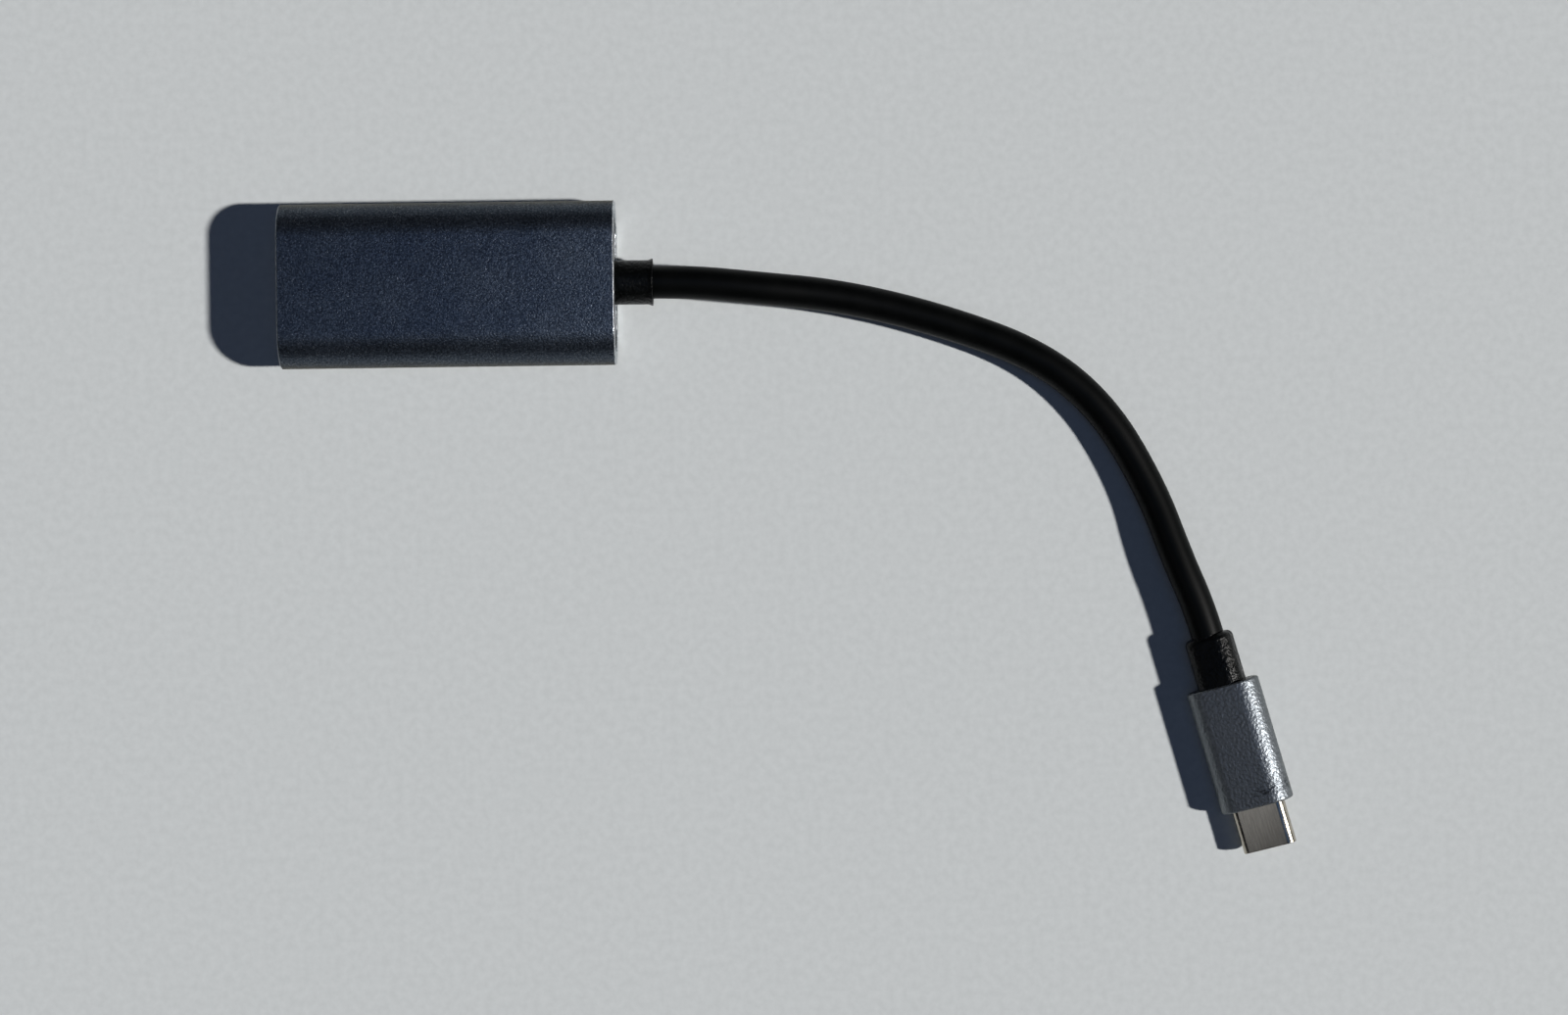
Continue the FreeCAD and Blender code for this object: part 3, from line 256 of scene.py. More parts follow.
def cutAluminium(name):
    # rims cut after anodising: bare metal with fine tool marks that sparkle
    stops, roughness = cutLooks[name]
    material, tree, shader = newMaterial(name)
    place = surfacePlace(tree, False)
    marks = addNode(tree, "ShaderNodeTexNoise", {
        "Vector": place, "Scale": perMm(cutting["marks"]),
        "Detail": cutting["detail"], "Roughness": cutting["finer"]})
    ramp = addNode(tree, "ShaderNodeValToRGB", {"Fac": marks.outputs["Fac"]})
    setColours(ramp, stops)
    bump = addNode(tree, "ShaderNodeBump", {
        "Height": marks.outputs["Fac"], "Strength": cutting["strength"],
        "Distance": cutting["relief"] * mm})
    tree.links.new(ramp.outputs["Color"], shader.inputs["Base Color"])
    tree.links.new(bump.outputs[0], shader.inputs["Normal"])
    shader.inputs["Metallic"].default_value = 1.0
    shader.inputs["Roughness"].default_value = roughness
    return material


moulding = {
    "detail": 3.0, "finer": 0.6, "strength": 0.7,
    "broad": 4,                 # how wide the slow changes of colour and gloss are
}

mouldedLooks = {
    # name: stops of the colour, grain in mm, relief in mm, roughness low and high, specular level
    "mouldedAbs": ([(0.3, "#151618"), (0.7, "#1e1f21")], 0.22, 0.010, (0.42, 0.55), 0.4),
    "glassFilledNylon": ([(0.3, "#121314"), (0.7, "#1d1e20")], 0.12, 0.004, (0.40, 0.50), 0.5),
    "bootElastomer": ([(0.3, "#020303"), (0.7, "#040505")], 0.62, 0.34, (0.26, 0.32), 0.19),
    "cableJacket": ([(0.3, "#020303"), (0.7, "#040505")], 0.30, 0.01, (0.40, 0.45), 0.10),
    "epoxyResin": ([(0.3, "#191a1c"), (0.7, "#232426")], 0.10, 0.004, (0.50, 0.62), 0.5),
    "ferrite": ([(0.3, "#2b2b2d"), (0.7, "#3b3b3e")], 0.08, 0.006, (0.60, 0.75), 0.5),
    "firedCeramic": ([(0.3, "#8a7355"), (0.7, "#a38c6c")], 0.10, 0.002, (0.45, 0.55), 0.5),
    "wireInsulation": ([(0.3, "#7d1a16"), (0.7, "#98241e")], 0.60, 0.002, (0.32, 0.40), 0.5),
}


def mouldedPlastic(name, local=False):
    # plastics and rubbers out of a mould or die: dark, with the tool's fine grain in their sheen
    stops, grainSize, relief, roughness, specular = mouldedLooks[name]
    material, tree, shader = newMaterial(name + ("Plug" if local else ""))
    place = surfacePlace(tree, local)
    grain = addNode(tree, "ShaderNodeTexNoise", {
        "Vector": place, "Scale": perMm(grainSize),
        "Detail": moulding["detail"], "Roughness": moulding["finer"]})
    broad = addNode(tree, "ShaderNodeTexNoise", {
        "Vector": place, "Scale": perMm(moulding["broad"]), "Detail": plainDetail})
    ramp = addNode(tree, "ShaderNodeValToRGB", {"Fac": broad.outputs["Fac"]})
    setColours(ramp, stops)
    gloss = addNode(tree, "ShaderNodeMapRange", {
        "Value": broad.outputs["Fac"], "From Min": noiseLow, "From Max": noiseHigh,
        "To Min": roughness[0], "To Max": roughness[1]})
    bump = addNode(tree, "ShaderNodeBump", {
        "Height": grain.outputs["Fac"], "Strength": moulding["strength"], "Distance": relief * mm})
    tree.links.new(ramp.outputs["Color"], shader.inputs["Base Color"])
    tree.links.new(gloss.outputs[0], shader.inputs["Roughness"])
    tree.links.new(bump.outputs[0], shader.inputs["Normal"])
    shader.inputs["Specular IOR Level"].default_value = specular
    return material


drawing = {
    "lines": 0.18, "detail": 3.0, "finer": 0.6,     # spacing of the lines left by the die
    "relief": 0.004, "strength": 0.3,
    "blotch": 1.9, "blotchShare": 0.45,             # size of the blotches and their share in the colour
}

metalLooks = {
    # name: stops of the colour, roughness low and high, how far the drawing lines stretch along X
    "drawnStainless": ([(0.30, "#a29b8f"), (0.55, "#bfb8aa"), (0.80, "#d7d0c2")], (0.18, 0.28), 14),
    "nickelPlate": ([(0.30, "#b9b6ab"), (0.55, "#cbc8bd"), (0.80, "#dad7cd")], (0.20, 0.30), 4),
    "goldPlate": ([(0.30, "#c9952f"), (0.55, "#dcab48"), (0.80, "#eac46c")], (0.20, 0.30), 4),
    "crimpBrass": ([(0.30, "#a88743"), (0.55, "#bd9b55"), (0.80, "#ceb070")], (0.28, 0.40), 3),
}


def drawnMetal(name, local=False):
    # sheet and strip pulled through a die: bright, with faint lines along the pull and dull blotches
    stops, roughness, stretch = metalLooks[name]
    material, tree, shader = newMaterial(name + ("Plug" if local else ""))
    place = surfacePlace(tree, local)
    along = addNode(tree, "ShaderNodeMapping", {"Vector": place, "Scale": (1 / stretch, 1, 1)})
    lines = addNode(tree, "ShaderNodeTexNoise", {
        "Vector": along.outputs[0], "Scale": perMm(drawing["lines"]),
        "Detail": drawing["detail"], "Roughness": drawing["finer"]})
    blotch = addNode(tree, "ShaderNodeTexNoise", {
        "Vector": place, "Scale": perMm(drawing["blotch"]), "Detail": drawing["detail"]})
    both = addNode(tree, "ShaderNodeMix", {
        "Factor": drawing["blotchShare"], 2: lines.outputs["Fac"], 3: blotch.outputs["Fac"]},
        data_type="FLOAT")
    ramp = addNode(tree, "ShaderNodeValToRGB", {"Fac": both.outputs[0]})
    setColours(ramp, stops)
    gloss = addNode(tree, "ShaderNodeMapRange", {
        "Value": blotch.outputs["Fac"], "From Min": noiseLow, "From Max": noiseHigh,
        "To Min": roughness[0], "To Max": roughness[1]})
    bump = addNode(tree, "ShaderNodeBump", {
        "Height": lines.outputs["Fac"], "Strength": drawing["strength"],
        "Distance": drawing["relief"] * mm})
    tree.links.new(ramp.outputs["Color"], shader.inputs["Base Color"])
    tree.links.new(gloss.outputs[0], shader.inputs["Roughness"])
    tree.links.new(bump.outputs[0], shader.inputs["Normal"])
    shader.inputs["Metallic"].default_value = 1.0
    return material


lacquer = {
    "stops": [(0.2, "#0d2b1b"), (0.8, "#143a25")], "roughness": 0.3,
    "radian": 0.5, "waveUnit": 20,      # mm for each radian of the wave, and the node's radians per unit
    "waver": 1.5,                       # how far the bands wander
}


def solderMask():
    # green lacquer over woven glass: the glass shows through as faint bands about 3 mm apart
    material, tree, shader = newMaterial("solderMask")
    place = surfacePlace(tree, False)
    weave = addNode(tree, "ShaderNodeTexWave", {
        "Vector": place, "Scale": perMm(lacquer["radian"]) / lacquer["waveUnit"],
        "Distortion": lacquer["waver"], "Detail": plainDetail})
    ramp = addNode(tree, "ShaderNodeValToRGB", {"Fac": weave.outputs["Fac"]})
    setColours(ramp, lacquer["stops"])
    tree.links.new(ramp.outputs["Color"], shader.inputs["Base Color"])
    shader.inputs["Roughness"].default_value = lacquer["roughness"]
    return material


finish = {
    "housing": anodisedAluminium("housingAnodised"),
    "plug": anodisedAluminium("plugAnodised"),
    "brightCut": cutAluminium("brightCutAluminium"),
    "paintedShadeCut": cutAluminium("paintedShadeCutAluminium"),
    "cap": mouldedPlastic("mouldedAbs"),
    "core": mouldedPlastic("mouldedAbs", local=True),
    "insulator": mouldedPlastic("glassFilledNylon"),
    "boot": mouldedPlastic("bootElastomer"),
    "plugBoot": mouldedPlastic("bootElastomer", local=True),
    "jacket": mouldedPlastic("cableJacket"),
    "resin": mouldedPlastic("epoxyResin"),
    "ferrite": mouldedPlastic("ferrite"),
    "ceramic": mouldedPlastic("firedCeramic"),
    "wire": mouldedPlastic("wireInsulation"),
    "nose": drawnMetal("drawnStainless", local=True),
    "plate": drawnMetal("nickelPlate"),
    "gold": drawnMetal("goldPlate"),
    "brass": drawnMetal("crimpBrass"),
    "board": solderMask(),
}
print("materials made:", len(finish))


# Mesh tools. A piece is lofted through sections across its X axis, each a rounded box.
meshRules = {
    "straight": 89,             # degrees: half the angle from which a corner counts as straight
    "flat": 1,                  # degrees: faces turned less than this are one
    "sharp": 32,                # degrees: an edge turned more than this stays sharp
    "softSharp": 50,            # the same, once the edges are rounded
    "leastCorner": 0.02,        # the smallest corner left inside a wall
    "edgeSteps": 2,             # faces across a softened edge
}


def sectionRing(x, width, height, corner, steps, seam=None):
    # corner = height / 2 gives a flat bar's section with round sides, and width = height a circle.
    # seam = (half width, depth) adds a mould line half way up each side
    points = []
    for turn, (sideY, sideZ) in enumerate([(1, -1), (1, 1), (-1, 1), (-1, -1)]):
        centre = Vector((x, sideY * (width / 2 - corner), sideZ * (height / 2 - corner)))
        for i in range(steps + 1):
            angle = math.radians(90 * (turn - 1 + i / steps))
            points.append(centre + corner * Vector((0, math.cos(angle), math.sin(angle))))
        if seam and turn in (0, 2):
            half, depth = seam
            for rise, inward in ((-half, 0), (0, depth), (half, 0)):
                points.append(Vector((x, sideY * (width / 2 - inward), sideY * rise)))
    return points


def roundedOutline(corners, steps=4):
    # a closed outline of (x, y, radius) corners, each turned into a small arc
    points = []
    count = len(corners)
    for i, (x, y, radius) in enumerate(corners):
        here = Vector((x, y))
        toBefore = (Vector(corners[i - 1][:2]) - here).normalized()
        toAfter = (Vector(corners[(i + 1) % count][:2]) - here).normalized()
        half = toBefore.angle(toAfter) / 2
        if radius == 0 or half > math.radians(meshRules["straight"]):
            points.append(here)
            continue
        centre = here + (toBefore + toAfter).normalized() * radius / math.sin(half)
        start = (here + toBefore * radius / math.tan(half) - centre).normalized()
        stop = (here + toAfter * radius / math.tan(half) - centre).normalized()
        for k in range(steps + 1):
            points.append(centre + radius * start.slerp(stop, k / steps))
    return points


def addLoft(made, rings, closed):
    # quads between neighbouring rings; closed joins the last ring to the first, else both ends are capped
    rows = [[made.verts.new(point) for point in ring] for ring in rings]
    for low, high in zip(rows, rows[1:] + (rows[:1] if closed else [])):
        for i in range(len(low)):
            j = (i + 1) % len(low)
            made.faces.new((low[i], low[j], high[j], high[i]))
    if not closed:
        made.faces.new(rows[0])
        made.faces.new(rows[-1])


def addBarShell(made, outline, width, height, corner, steps):
    # a hollow bar: the outline's x is along the bar, its y the depth below the outer surface
    least = meshRules["leastCorner"]
    rings = [
        sectionRing(x, width - 2 * inset, height - 2 * inset, max(corner - inset, least), steps)
        for x, inset in outline
    ]
    addLoft(made, rings, closed=True)


def addTurned(made, outline, steps):
    # a turned shell: the outline's x is along the axis, its y the radius
    addLoft(made, [sectionRing(x, 2 * r, 2 * r, r, steps) for x, r in outline], closed=True)


def finishPiece(made, name, materials, placement, body="root"):
    # millimetres to metres, in place, smooth where the surface turns gently
    bmesh.ops.remove_doubles(made, verts=made.verts, dist=weldGap / mm)
    bmesh.ops.recalc_face_normals(made, faces=made.faces)
    mesh = bpy.data.meshes.new(name)
    made.to_mesh(mesh)
    made.free()
    mesh.transform(Matrix.Scale(mm, 4))
    local = mesh.attributes.new("place", "FLOAT_VECTOR", "POINT")
    for vertex, item in zip(mesh.vertices, local.data):
        item.vector = vertex.co
    mesh.transform(placement)
    for material in materials:
        mesh.materials.append(material)
    mesh.shade_smooth()
    mesh.set_sharp_from_angle(angle=math.radians(meshRules["sharp"]))
    piece = bpy.data.objects.new(name, mesh)
    scene.collection.objects.link(piece)
    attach(piece, body)
    return piece


def applyModifiers(piece):
    # the evaluated shape becomes the piece's own plain mesh
    bpy.context.view_layer.update()
    graph = bpy.context.evaluated_depsgraph_get()
    made = piece.evaluated_get(graph)
    mesh = bpy.data.meshes.new_from_object(made, preserve_all_data_layers=True, depsgraph=graph)
    mesh.name = piece.name
    piece.modifiers.clear()
    piece.data = mesh


def softenedCopy(node, name, materials, edge, placement=None):
    # the CAD node's own shape with its facets welded and its edges rounded, edge in millimetres
    made = bmesh.new()
    made.from_mesh(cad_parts[node].data)
    bmesh.ops.remove_doubles(made, verts=made.verts, dist=weldGap)
    flat = math.radians(meshRules["flat"])
    bmesh.ops.dissolve_limit(made, angle_limit=flat, verts=made.verts, edges=made.edges)
    mesh = bpy.data.meshes.new(name)
    made.to_mesh(mesh)
    made.free()
    if "custom_normal" in mesh.attributes:
        mesh.attributes.remove(mesh.attributes["custom_normal"])
    for material in materials:
        mesh.materials.append(material)
    mesh.shade_smooth()
    mesh.set_sharp_from_angle(angle=math.radians(meshRules["sharp"]))
    piece = bpy.data.objects.new(name, mesh)
    scene.collection.objects.link(piece)
    bevel = piece.modifiers.new("edges", "BEVEL")
    bevel.width = edge * mm
    bevel.segments = meshRules["edgeSteps"]
    bevel.limit_method = "ANGLE"
    bevel.angle_limit = math.radians(meshRules["sharp"])
    bevel.use_clamp_overlap = True
    applyModifiers(piece)
    piece.data.shade_smooth()
    piece.data.set_sharp_from_angle(angle=math.radians(meshRules["softSharp"]))
    local = piece.data.attributes.new("place", "FLOAT_VECTOR", "POINT")
    straight = placement.inverted() if placement else Matrix.Identity(4)
    for vertex, item in zip(piece.data.vertices, local.data):
        item.vector = straight @ vertex.co
    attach(piece, "root")
    return piece


# Cable, next: its route is the CAD route, in metres
cable = {
    "diameter": 0.005,
    "length": 0.1105,
    "stepsAlong": 16, "stepsRound": 10,
    "route": [
        (0.03065, 0.0, 0.0055), (0.0365, 0.0, 0.0055), (0.046, -0.001, 0.0052),
        (0.059, -0.0023, 0.0035), (0.0734, -0.0058, 0.0025), (0.0889, -0.0115, 0.0025),
        (0.0988, -0.0198, 0.0025), (0.1058, -0.0321, 0.0025), (0.1095, -0.0426, 0.0036),
        (0.11273, -0.05026, 0.003889), (0.1139, -0.0544, 0.003889),
    ],
    "plugRoll": 20.0,       # degrees that the plug leans about its own axis
}


def buildCable():
    curve = bpy.data.curves.new("cableRun", "CURVE")
    curve.dimensions = "3D"
    curve.resolution_u = cable["stepsAlong"]
    curve.bevel_depth = cable["diameter"] / 2
    curve.bevel_resolution = cable["stepsRound"]
    curve.use_fill_caps = True
    spline = curve.splines.new("NURBS")
    spline.points.add(len(cable["route"]) - 1)
    for point, place in zip(spline.points, cable["route"]):
        point.co = (*place, 1.0)
    spline.order_u = 3
    spline.use_endpoint_u = True
    curve.materials.append(finish["jacket"])
    run = bpy.data.objects.new("cableRun", curve)
    scene.collection.objects.link(run)
    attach(run, "root")
    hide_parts("cable")
    return run


cableRun = buildCable()

# The plug lies at the cable's end, along its last run and rolled about it
plugStart = Vector(cable["route"][-1])
plugAlong = (plugStart - Vector(cable["route"][-2])).normalized()
plugPlace = (
    Matrix.Translation(plugStart)
    @ Matrix.Rotation(math.atan2(plugAlong.y, plugAlong.x), 4, "Z")
    @ Matrix.Rotation(math.radians(cable["plugRoll"]), 4, "X")
)
print("cable laid")


# Housing
housingLow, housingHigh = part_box("housing_sleeve")
housing = {
    "length": (housingHigh.x - housingLow.x) / mm,
    "width": (housingHigh.y - housingLow.y) / mm,
    "height": (housingHigh.z - housingLow.z) / mm,
    "wall": 1.3,
    "rimCut": 0.18, "rimRound": 0.07,       # the bright chamfer at each end
    "capSeat": 2.6, "capEdge": 0.10,
    "railInner": 8.8, "railTop": 3.75, "slotOuter": 9.75, "slotLow": 1.9, "slotHigh": 2.95,
    "arcSteps": 20, "railSteps": 8,
}
housingPlace = Matrix.Translation((0, 0, housing["height"] / 2 * mm))


def addRail(made, side):
    # one board rail on the bore's wall, with the board's slot in it; heights are above the floor
    h = housing
    lift = h["height"] / 2
    bore = (h["height"] - h["wall"]) / 2
    centre = (h["width"] - h["height"]) / 2
    arcLow = math.asin((h["railInner"] - centre) / bore) - math.pi / 2
    arcHigh = math.asin((h["railTop"] - lift) / bore)
    arc = [arcLow + (arcHigh - arcLow) * i / h["railSteps"] for i in range(h["railSteps"] + 1)]
    outline = [(centre + bore * math.cos(turn), bore * math.sin(turn)) for turn in arc]
    steps = [("railInner", "railTop"), ("railInner", "slotHigh"), ("slotOuter", "slotHigh"),
             ("slotOuter", "slotLow"), ("railInner", "slotLow")]
    outline += [(h[across], h[up] - lift) for across, up in steps]
    reach = h["length"] / 2 - h["capSeat"]
    addLoft(made, [[Vector((x, side * y, z)) for y, z in outline] for x in (-reach, reach)], closed=False)


def buildHousing():
    h = housing
    end = h["length"] / 2
    cut = h["rimCut"]
    corners = [
        (-end + cut, 0), (end - cut, 0), (end, cut), (end, h["wall"] - cut), (end - cut, h["wall"]),
        (-end + cut, h["wall"]), (-end, h["wall"] - cut), (-end, cut),
    ]
    outline = roundedOutline([(x, y, h["rimRound"]) for x, y in corners])
    made = bmesh.new()
    addBarShell(made, outline, h["width"], h["height"], h["height"] / 2, h["arcSteps"])
    for face in made.faces:
        middle = face.calc_center_median().x
        if abs(middle) > end - cut - h["rimRound"] / 2:
            # the cable end's rim takes the bright cut, the port end's rim the darker copy, which is painted
            # shade
            face.material_index = 1 if middle > 0 else 2
    for side in (1, -1):
        addRail(made, side)
    looks = [finish["housing"], finish["brightCut"], finish["paintedShadeCut"]]
    shell = finishPiece(made, "housingShell", looks, housingPlace)
    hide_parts("housing_sleeve")
    for node, name in (("port_end_cap", "portEndCap"), ("cable_end_cap", "cableEndCap")):
        cap = softenedCopy(node, name, [finish["cap"]], h["capEdge"])
        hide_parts(node)


buildHousing()
print("housing built")

# Boot on the housing: a turned shape with a flared, dished lip
bootLow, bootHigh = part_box("housing_boot")
houseBoot = {
    "back": bootLow.x / mm,
    "tip": bootHigh.x / mm,
    "flange": 4.0, "flangeThick": 1.5, "flangeRound": 0.15,
    "neck": 3.05, "neckRound": 0.1, "neckEnd": 25.0,
    "side": 3.35, "sideRound": 0.12,
    "lip": 0.3, "lipLength": 0.45, "lipBend": 0.5, "lipRound": 0.10,
    "dish": 3.0, "dishRise": 0.02, "dishRound": 0.12, "dishDepth": 0.25,
    "bore": 2.52, "boreRound": 0.03,
    "arcSteps": 14, "cornerSteps": 6,
}


def buildHouseBoot():
    b = houseBoot
    face = b["tip"] - b["lip"]
    flangeFront = b["back"] + b["flangeThick"]
    corners = [
        (b["back"], b["bore"], 0), (b["back"], b["flange"], b["flangeRound"]),
        (flangeFront, b["flange"], b["neckRound"]), (flangeFront, b["neck"], 0),
        (b["neckEnd"], b["neck"], 0), (b["neckEnd"], b["side"], b["sideRound"]),
        (face - b["lipLength"], b["side"], b["lipBend"]), (b["tip"], b["side"] + b["lip"], b["lipRound"]),
        (face + b["dishRise"], b["dish"], b["dishRound"]), (face - b["dishDepth"], b["bore"], b["boreRound"]),
    ]
    made = bmesh.new()
    addTurned(made, roundedOutline(corners, b["cornerSteps"]), b["arcSteps"])
    boot = finishPiece(made, "housingBoot", [finish["boot"]], housingPlace)
    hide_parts("housing_boot")
    return boot


housingBoot = buildHouseBoot()
print("housing boot built")

# Plug, along its own X axis from the cable end of its boot
plug = {
    "bootLength": 7.8, "bootWidth": 7.25, "bootHeight": 5.6, "bootCorner": 2.3, "bootEdge": 0.9,
    "seam": (0.15, 0.22), "bootBore": 2.52,
    "anchorLength": 2.0, "anchorHoleWidth": 5.4, "anchorHoleHeight": 3.0,
    "sleeveLength": 19.0, "sleeveWidth": 11.2, "sleeveHeight": 6.0, "sleeveWall": 0.6,
    "sleeveEdge": 0.2, "sleeveRound": 0.06,
    "noseLength": 6.65, "noseWidth": 8.25, "noseHeight": 2.4, "noseWall": 0.2, "noseRoot": 6.8,
    "noseLip": 0.13, "noseInnerLip": 0.05,
    "pressGap": 0.05,
    "arcSteps": 14, "edgeSteps": 8, "lipSteps": 6,
}


def buildPlugBoot():
    p = plug
    long, edge = p["bootLength"], p["bootEdge"]
    turns = [math.radians(90 * i / p["edgeSteps"]) for i in range(p["edgeSteps"], -1, -1)]
    outer = [(edge * (1 - math.sin(turn)), edge * (1 - math.cos(turn))) for turn in turns]
    rings = [
        sectionRing(
            x, p["bootWidth"] - 2 * inset, p["bootHeight"] - 2 * inset, p["bootCorner"] - inset,
            p["arcSteps"], p["seam"],
        )
        for x, inset in outer + [(long, 0)]
    ]
    bore = p["bootBore"]
    rings += [sectionRing(x, 2 * bore, 2 * bore, bore, p["arcSteps"], (0, 0)) for x in (long, 0)]
    made = bmesh.new()
    addLoft(made, rings, closed=True)
    width = p["sleeveWidth"] - 2 * p["sleeveWall"] - 2 * p["pressGap"]
    height = p["sleeveHeight"] - 2 * p["sleeveWall"] - 2 * p["pressGap"]
    ends = (long, long + p["anchorLength"])
    plate = [sectionRing(x, width, height, height / 2, p["arcSteps"]) for x in ends]
    hole = p["anchorHoleHeight"]
    plate += [sectionRing(x, p["anchorHoleWidth"], hole, hole / 2, p["arcSteps"]) for x in ends[::-1]]
    addLoft(made, plate, closed=True)
    boot = finishPiece(made, "plugBoot", [finish["plugBoot"]], plugPlace)
    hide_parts("plug_boot")
    return boot


def buildPlugSleeve():
    p = plug
    start, stop = p["bootLength"], p["bootLength"] + p["sleeveLength"]
    cut, wall = p["sleeveEdge"], p["sleeveWall"]
    corners = [
        (start + cut, 0), (stop - cut, 0), (stop, cut), (stop, wall - cut), (stop - cut, wall),
        (start + cut, wall), (start, wall - cut), (start, cut),
    ]
    outline = roundedOutline([(x, y, p["sleeveRound"]) for x, y in corners])
    made = bmesh.new()
    addBarShell(made, outline, p["sleeveWidth"], p["sleeveHeight"], p["sleeveHeight"] / 2, p["arcSteps"])
    sleeve = finishPiece(made, "plugSleeve", [finish["plug"]], plugPlace)
    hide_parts("plug_sleeve")
    return sleeve


def buildPlugNose():
    p = plug
    front = p["bootLength"] + p["sleeveLength"]
    back, tip = front - p["noseRoot"], front + p["noseLength"]
    wall, lip = p["noseWall"], p["noseLip"]
    corners = [(back, 0, 0), (tip, 0, lip), (tip, wall, p["noseInnerLip"]), (back, wall, 0)]
    outline = roundedOutline(corners, p["lipSteps"])
    made = bmesh.new()
    addBarShell(made, outline, p["noseWidth"], p["noseHeight"], p["noseHeight"] / 2, p["arcSteps"])
    nose = finishPiece(made, "plugNose", [finish["nose"]], plugPlace)
    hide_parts("plug_nose_shell")
    return nose


plugBoot = buildPlugBoot()
plugSleeve = buildPlugSleeve()
plugNose = buildPlugNose()
print("plug shells built")

# Contacts: one strip each, repeated in rows by a node tree
contacts = {
    # in the plug: one full row, and one of two groups with a gap between them
    "plugCount": 12, "plugHalfCount": 5, "plugSkip": 7, "plugPitch": 0.5,
    "plugWidth": 0.26, "plugThick": 0.15, "plugRound": 0.06,
    "plugLevel": 0.375, "plugStart": 18.3, "plugStop": 32.45,
    # in the socket: a row on each face of the tongue, bent down to the board
    "topCount": 10, "bottomCount": 9, "pitch": 1.0, "width": 0.34, "thick": 0.15,
    "front": -23.6, "back": -13.7, "topLeg": 0.95, "bottomLeg": 0.4, "foot": 1.9,
    "boardTop": 2.9, "tongueTop": 6.35, "tongueBottom": 4.75,
    "round": 0.05, "knee": 0.12, "footRound": 0.03,
    "roundSteps": 3,
}


def contactRowTree():
    tree = bpy.data.node_groups.new("contactRow", "GeometryNodeTree")
    sockets = [
        ("Strip", "NodeSocketGeometry"), ("Count", "NodeSocketInt"), ("First", "NodeSocketVector"),
        ("Step", "NodeSocketVector"), ("Finish", "NodeSocketMaterial"),
    ]
    for name, kind in sockets:
        tree.interface.new_socket(name=name, in_out="INPUT", socket_type=kind)
    tree.interface.new_socket(name="Row", in_out="OUTPUT", socket_type="NodeSocketGeometry")
    given = addNode(tree, "NodeGroupInput").outputs
    places = addNode(tree, "GeometryNodeMeshLine", {
        "Count": given["Count"], "Start Location": given["First"], "Offset": given["Step"]}, mode="OFFSET")
    copies = addNode(tree, "GeometryNodeInstanceOnPoints", {
        "Points": places.outputs[0], "Instance": given["Strip"]})
    real = addNode(tree, "GeometryNodeRealizeInstances", {0: copies.outputs[0]})
    plated = addNode(tree, "GeometryNodeSetMaterial", {
        "Geometry": real.outputs[0], "Material": given["Finish"]})
    addNode(tree, "NodeGroupOutput", {0: plated.outputs[0]})
    return tree


rowTree = contactRowTree()


def contactRow(outline, width, count, firstY, stepY, material):
    # one strip from its side outline (x, z), rounded and repeated across the piece; returns a bmesh
    made = bmesh.new()
    rim = roundedOutline(outline, contacts["roundSteps"])
    addLoft(made, [[Vector((x, y, z)) for x, z in rim] for y in (-width / 2, width / 2)], closed=False)
    mesh = bpy.data.meshes.new("strip")
    made.to_mesh(mesh)
    made.free()
    strip = bpy.data.objects.new("strip", mesh)
    scene.collection.objects.link(strip)
    row = strip.modifiers.new("row", "NODES")
    row.node_group = rowTree
    values = {"Count": count, "First": (0.0, firstY, 0.0), "Step": (0.0, stepY, 0.0), "Finish": material}
    for item in rowTree.interface.items_tree:
        if item.in_out == "INPUT" and item.name in values:
            row[item.identifier] = values[item.name]
    applyModifiers(strip)
    made = bmesh.new()
    made.from_mesh(strip.data)
    bpy.data.objects.remove(strip)
    return made


def joinRows(rows):
    whole = bmesh.new()
    for row in rows:
        part = bpy.data.meshes.new("part")
        row.to_mesh(part)
        row.free()
        whole.from_mesh(part)
        bpy.data.meshes.remove(part)
    return whole


def buildContacts():
    c = contacts
    low, high = c["plugLevel"], c["plugLevel"] + c["plugThick"]
    start, stop, tip = c["plugStart"], c["plugStop"], c["plugRound"]
    full = [(c["plugCount"], 0)]
    halves = [(c["plugHalfCount"], 0), (c["plugHalfCount"], c["plugSkip"])]
    rows = []
    for near, far, groups in ((low, high, full), (-low, -high, halves)):
        outline = [(start, near, 0), (stop, near, tip), (stop, far, tip), (start, far, 0)]
        for count, skipped in groups:
            first = ((c["plugCount"] - 1) / 2 - skipped) * c["plugPitch"]
            rows.append(contactRow(outline, c["plugWidth"], count, first, -c["plugPitch"], finish["gold"]))
    plugRow = finishPiece(joinRows(rows), "plugContacts", [finish["gold"]], plugPlace)
    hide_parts("plug_contacts")
    rows = []
    levels = [
        (c["topCount"], c["tongueTop"] + c["thick"], c["topLeg"]),
        (c["bottomCount"], c["tongueBottom"], c["bottomLeg"]),
    ]
    thick, board, foot = c["thick"], c["boardTop"], c["back"] + c["foot"]
    bend, knee, toe = c["round"], c["knee"], c["footRound"]
    for count, upper, leg in levels:
        legOut = c["back"] + leg
        outline = [
            (c["front"], upper - thick, bend), (legOut - thick, upper - thick, bend),
            (legOut - thick, board, bend), (foot, board, toe), (foot, board + thick, toe),
            (legOut, board + thick, bend), (legOut, upper, knee), (c["front"], upper, bend),
        ]
        first = (count - 1) / 2 * c["pitch"]
        rows.append(contactRow(outline, c["width"], count, first, -c["pitch"], finish["gold"]))
    socketRow = finishPiece(joinRows(rows), "socketContacts", [finish["gold"]], Matrix.Identity(4))
    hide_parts("socket_contacts")
    return plugRow


plugContacts = buildContacts()
print("contacts repeated")

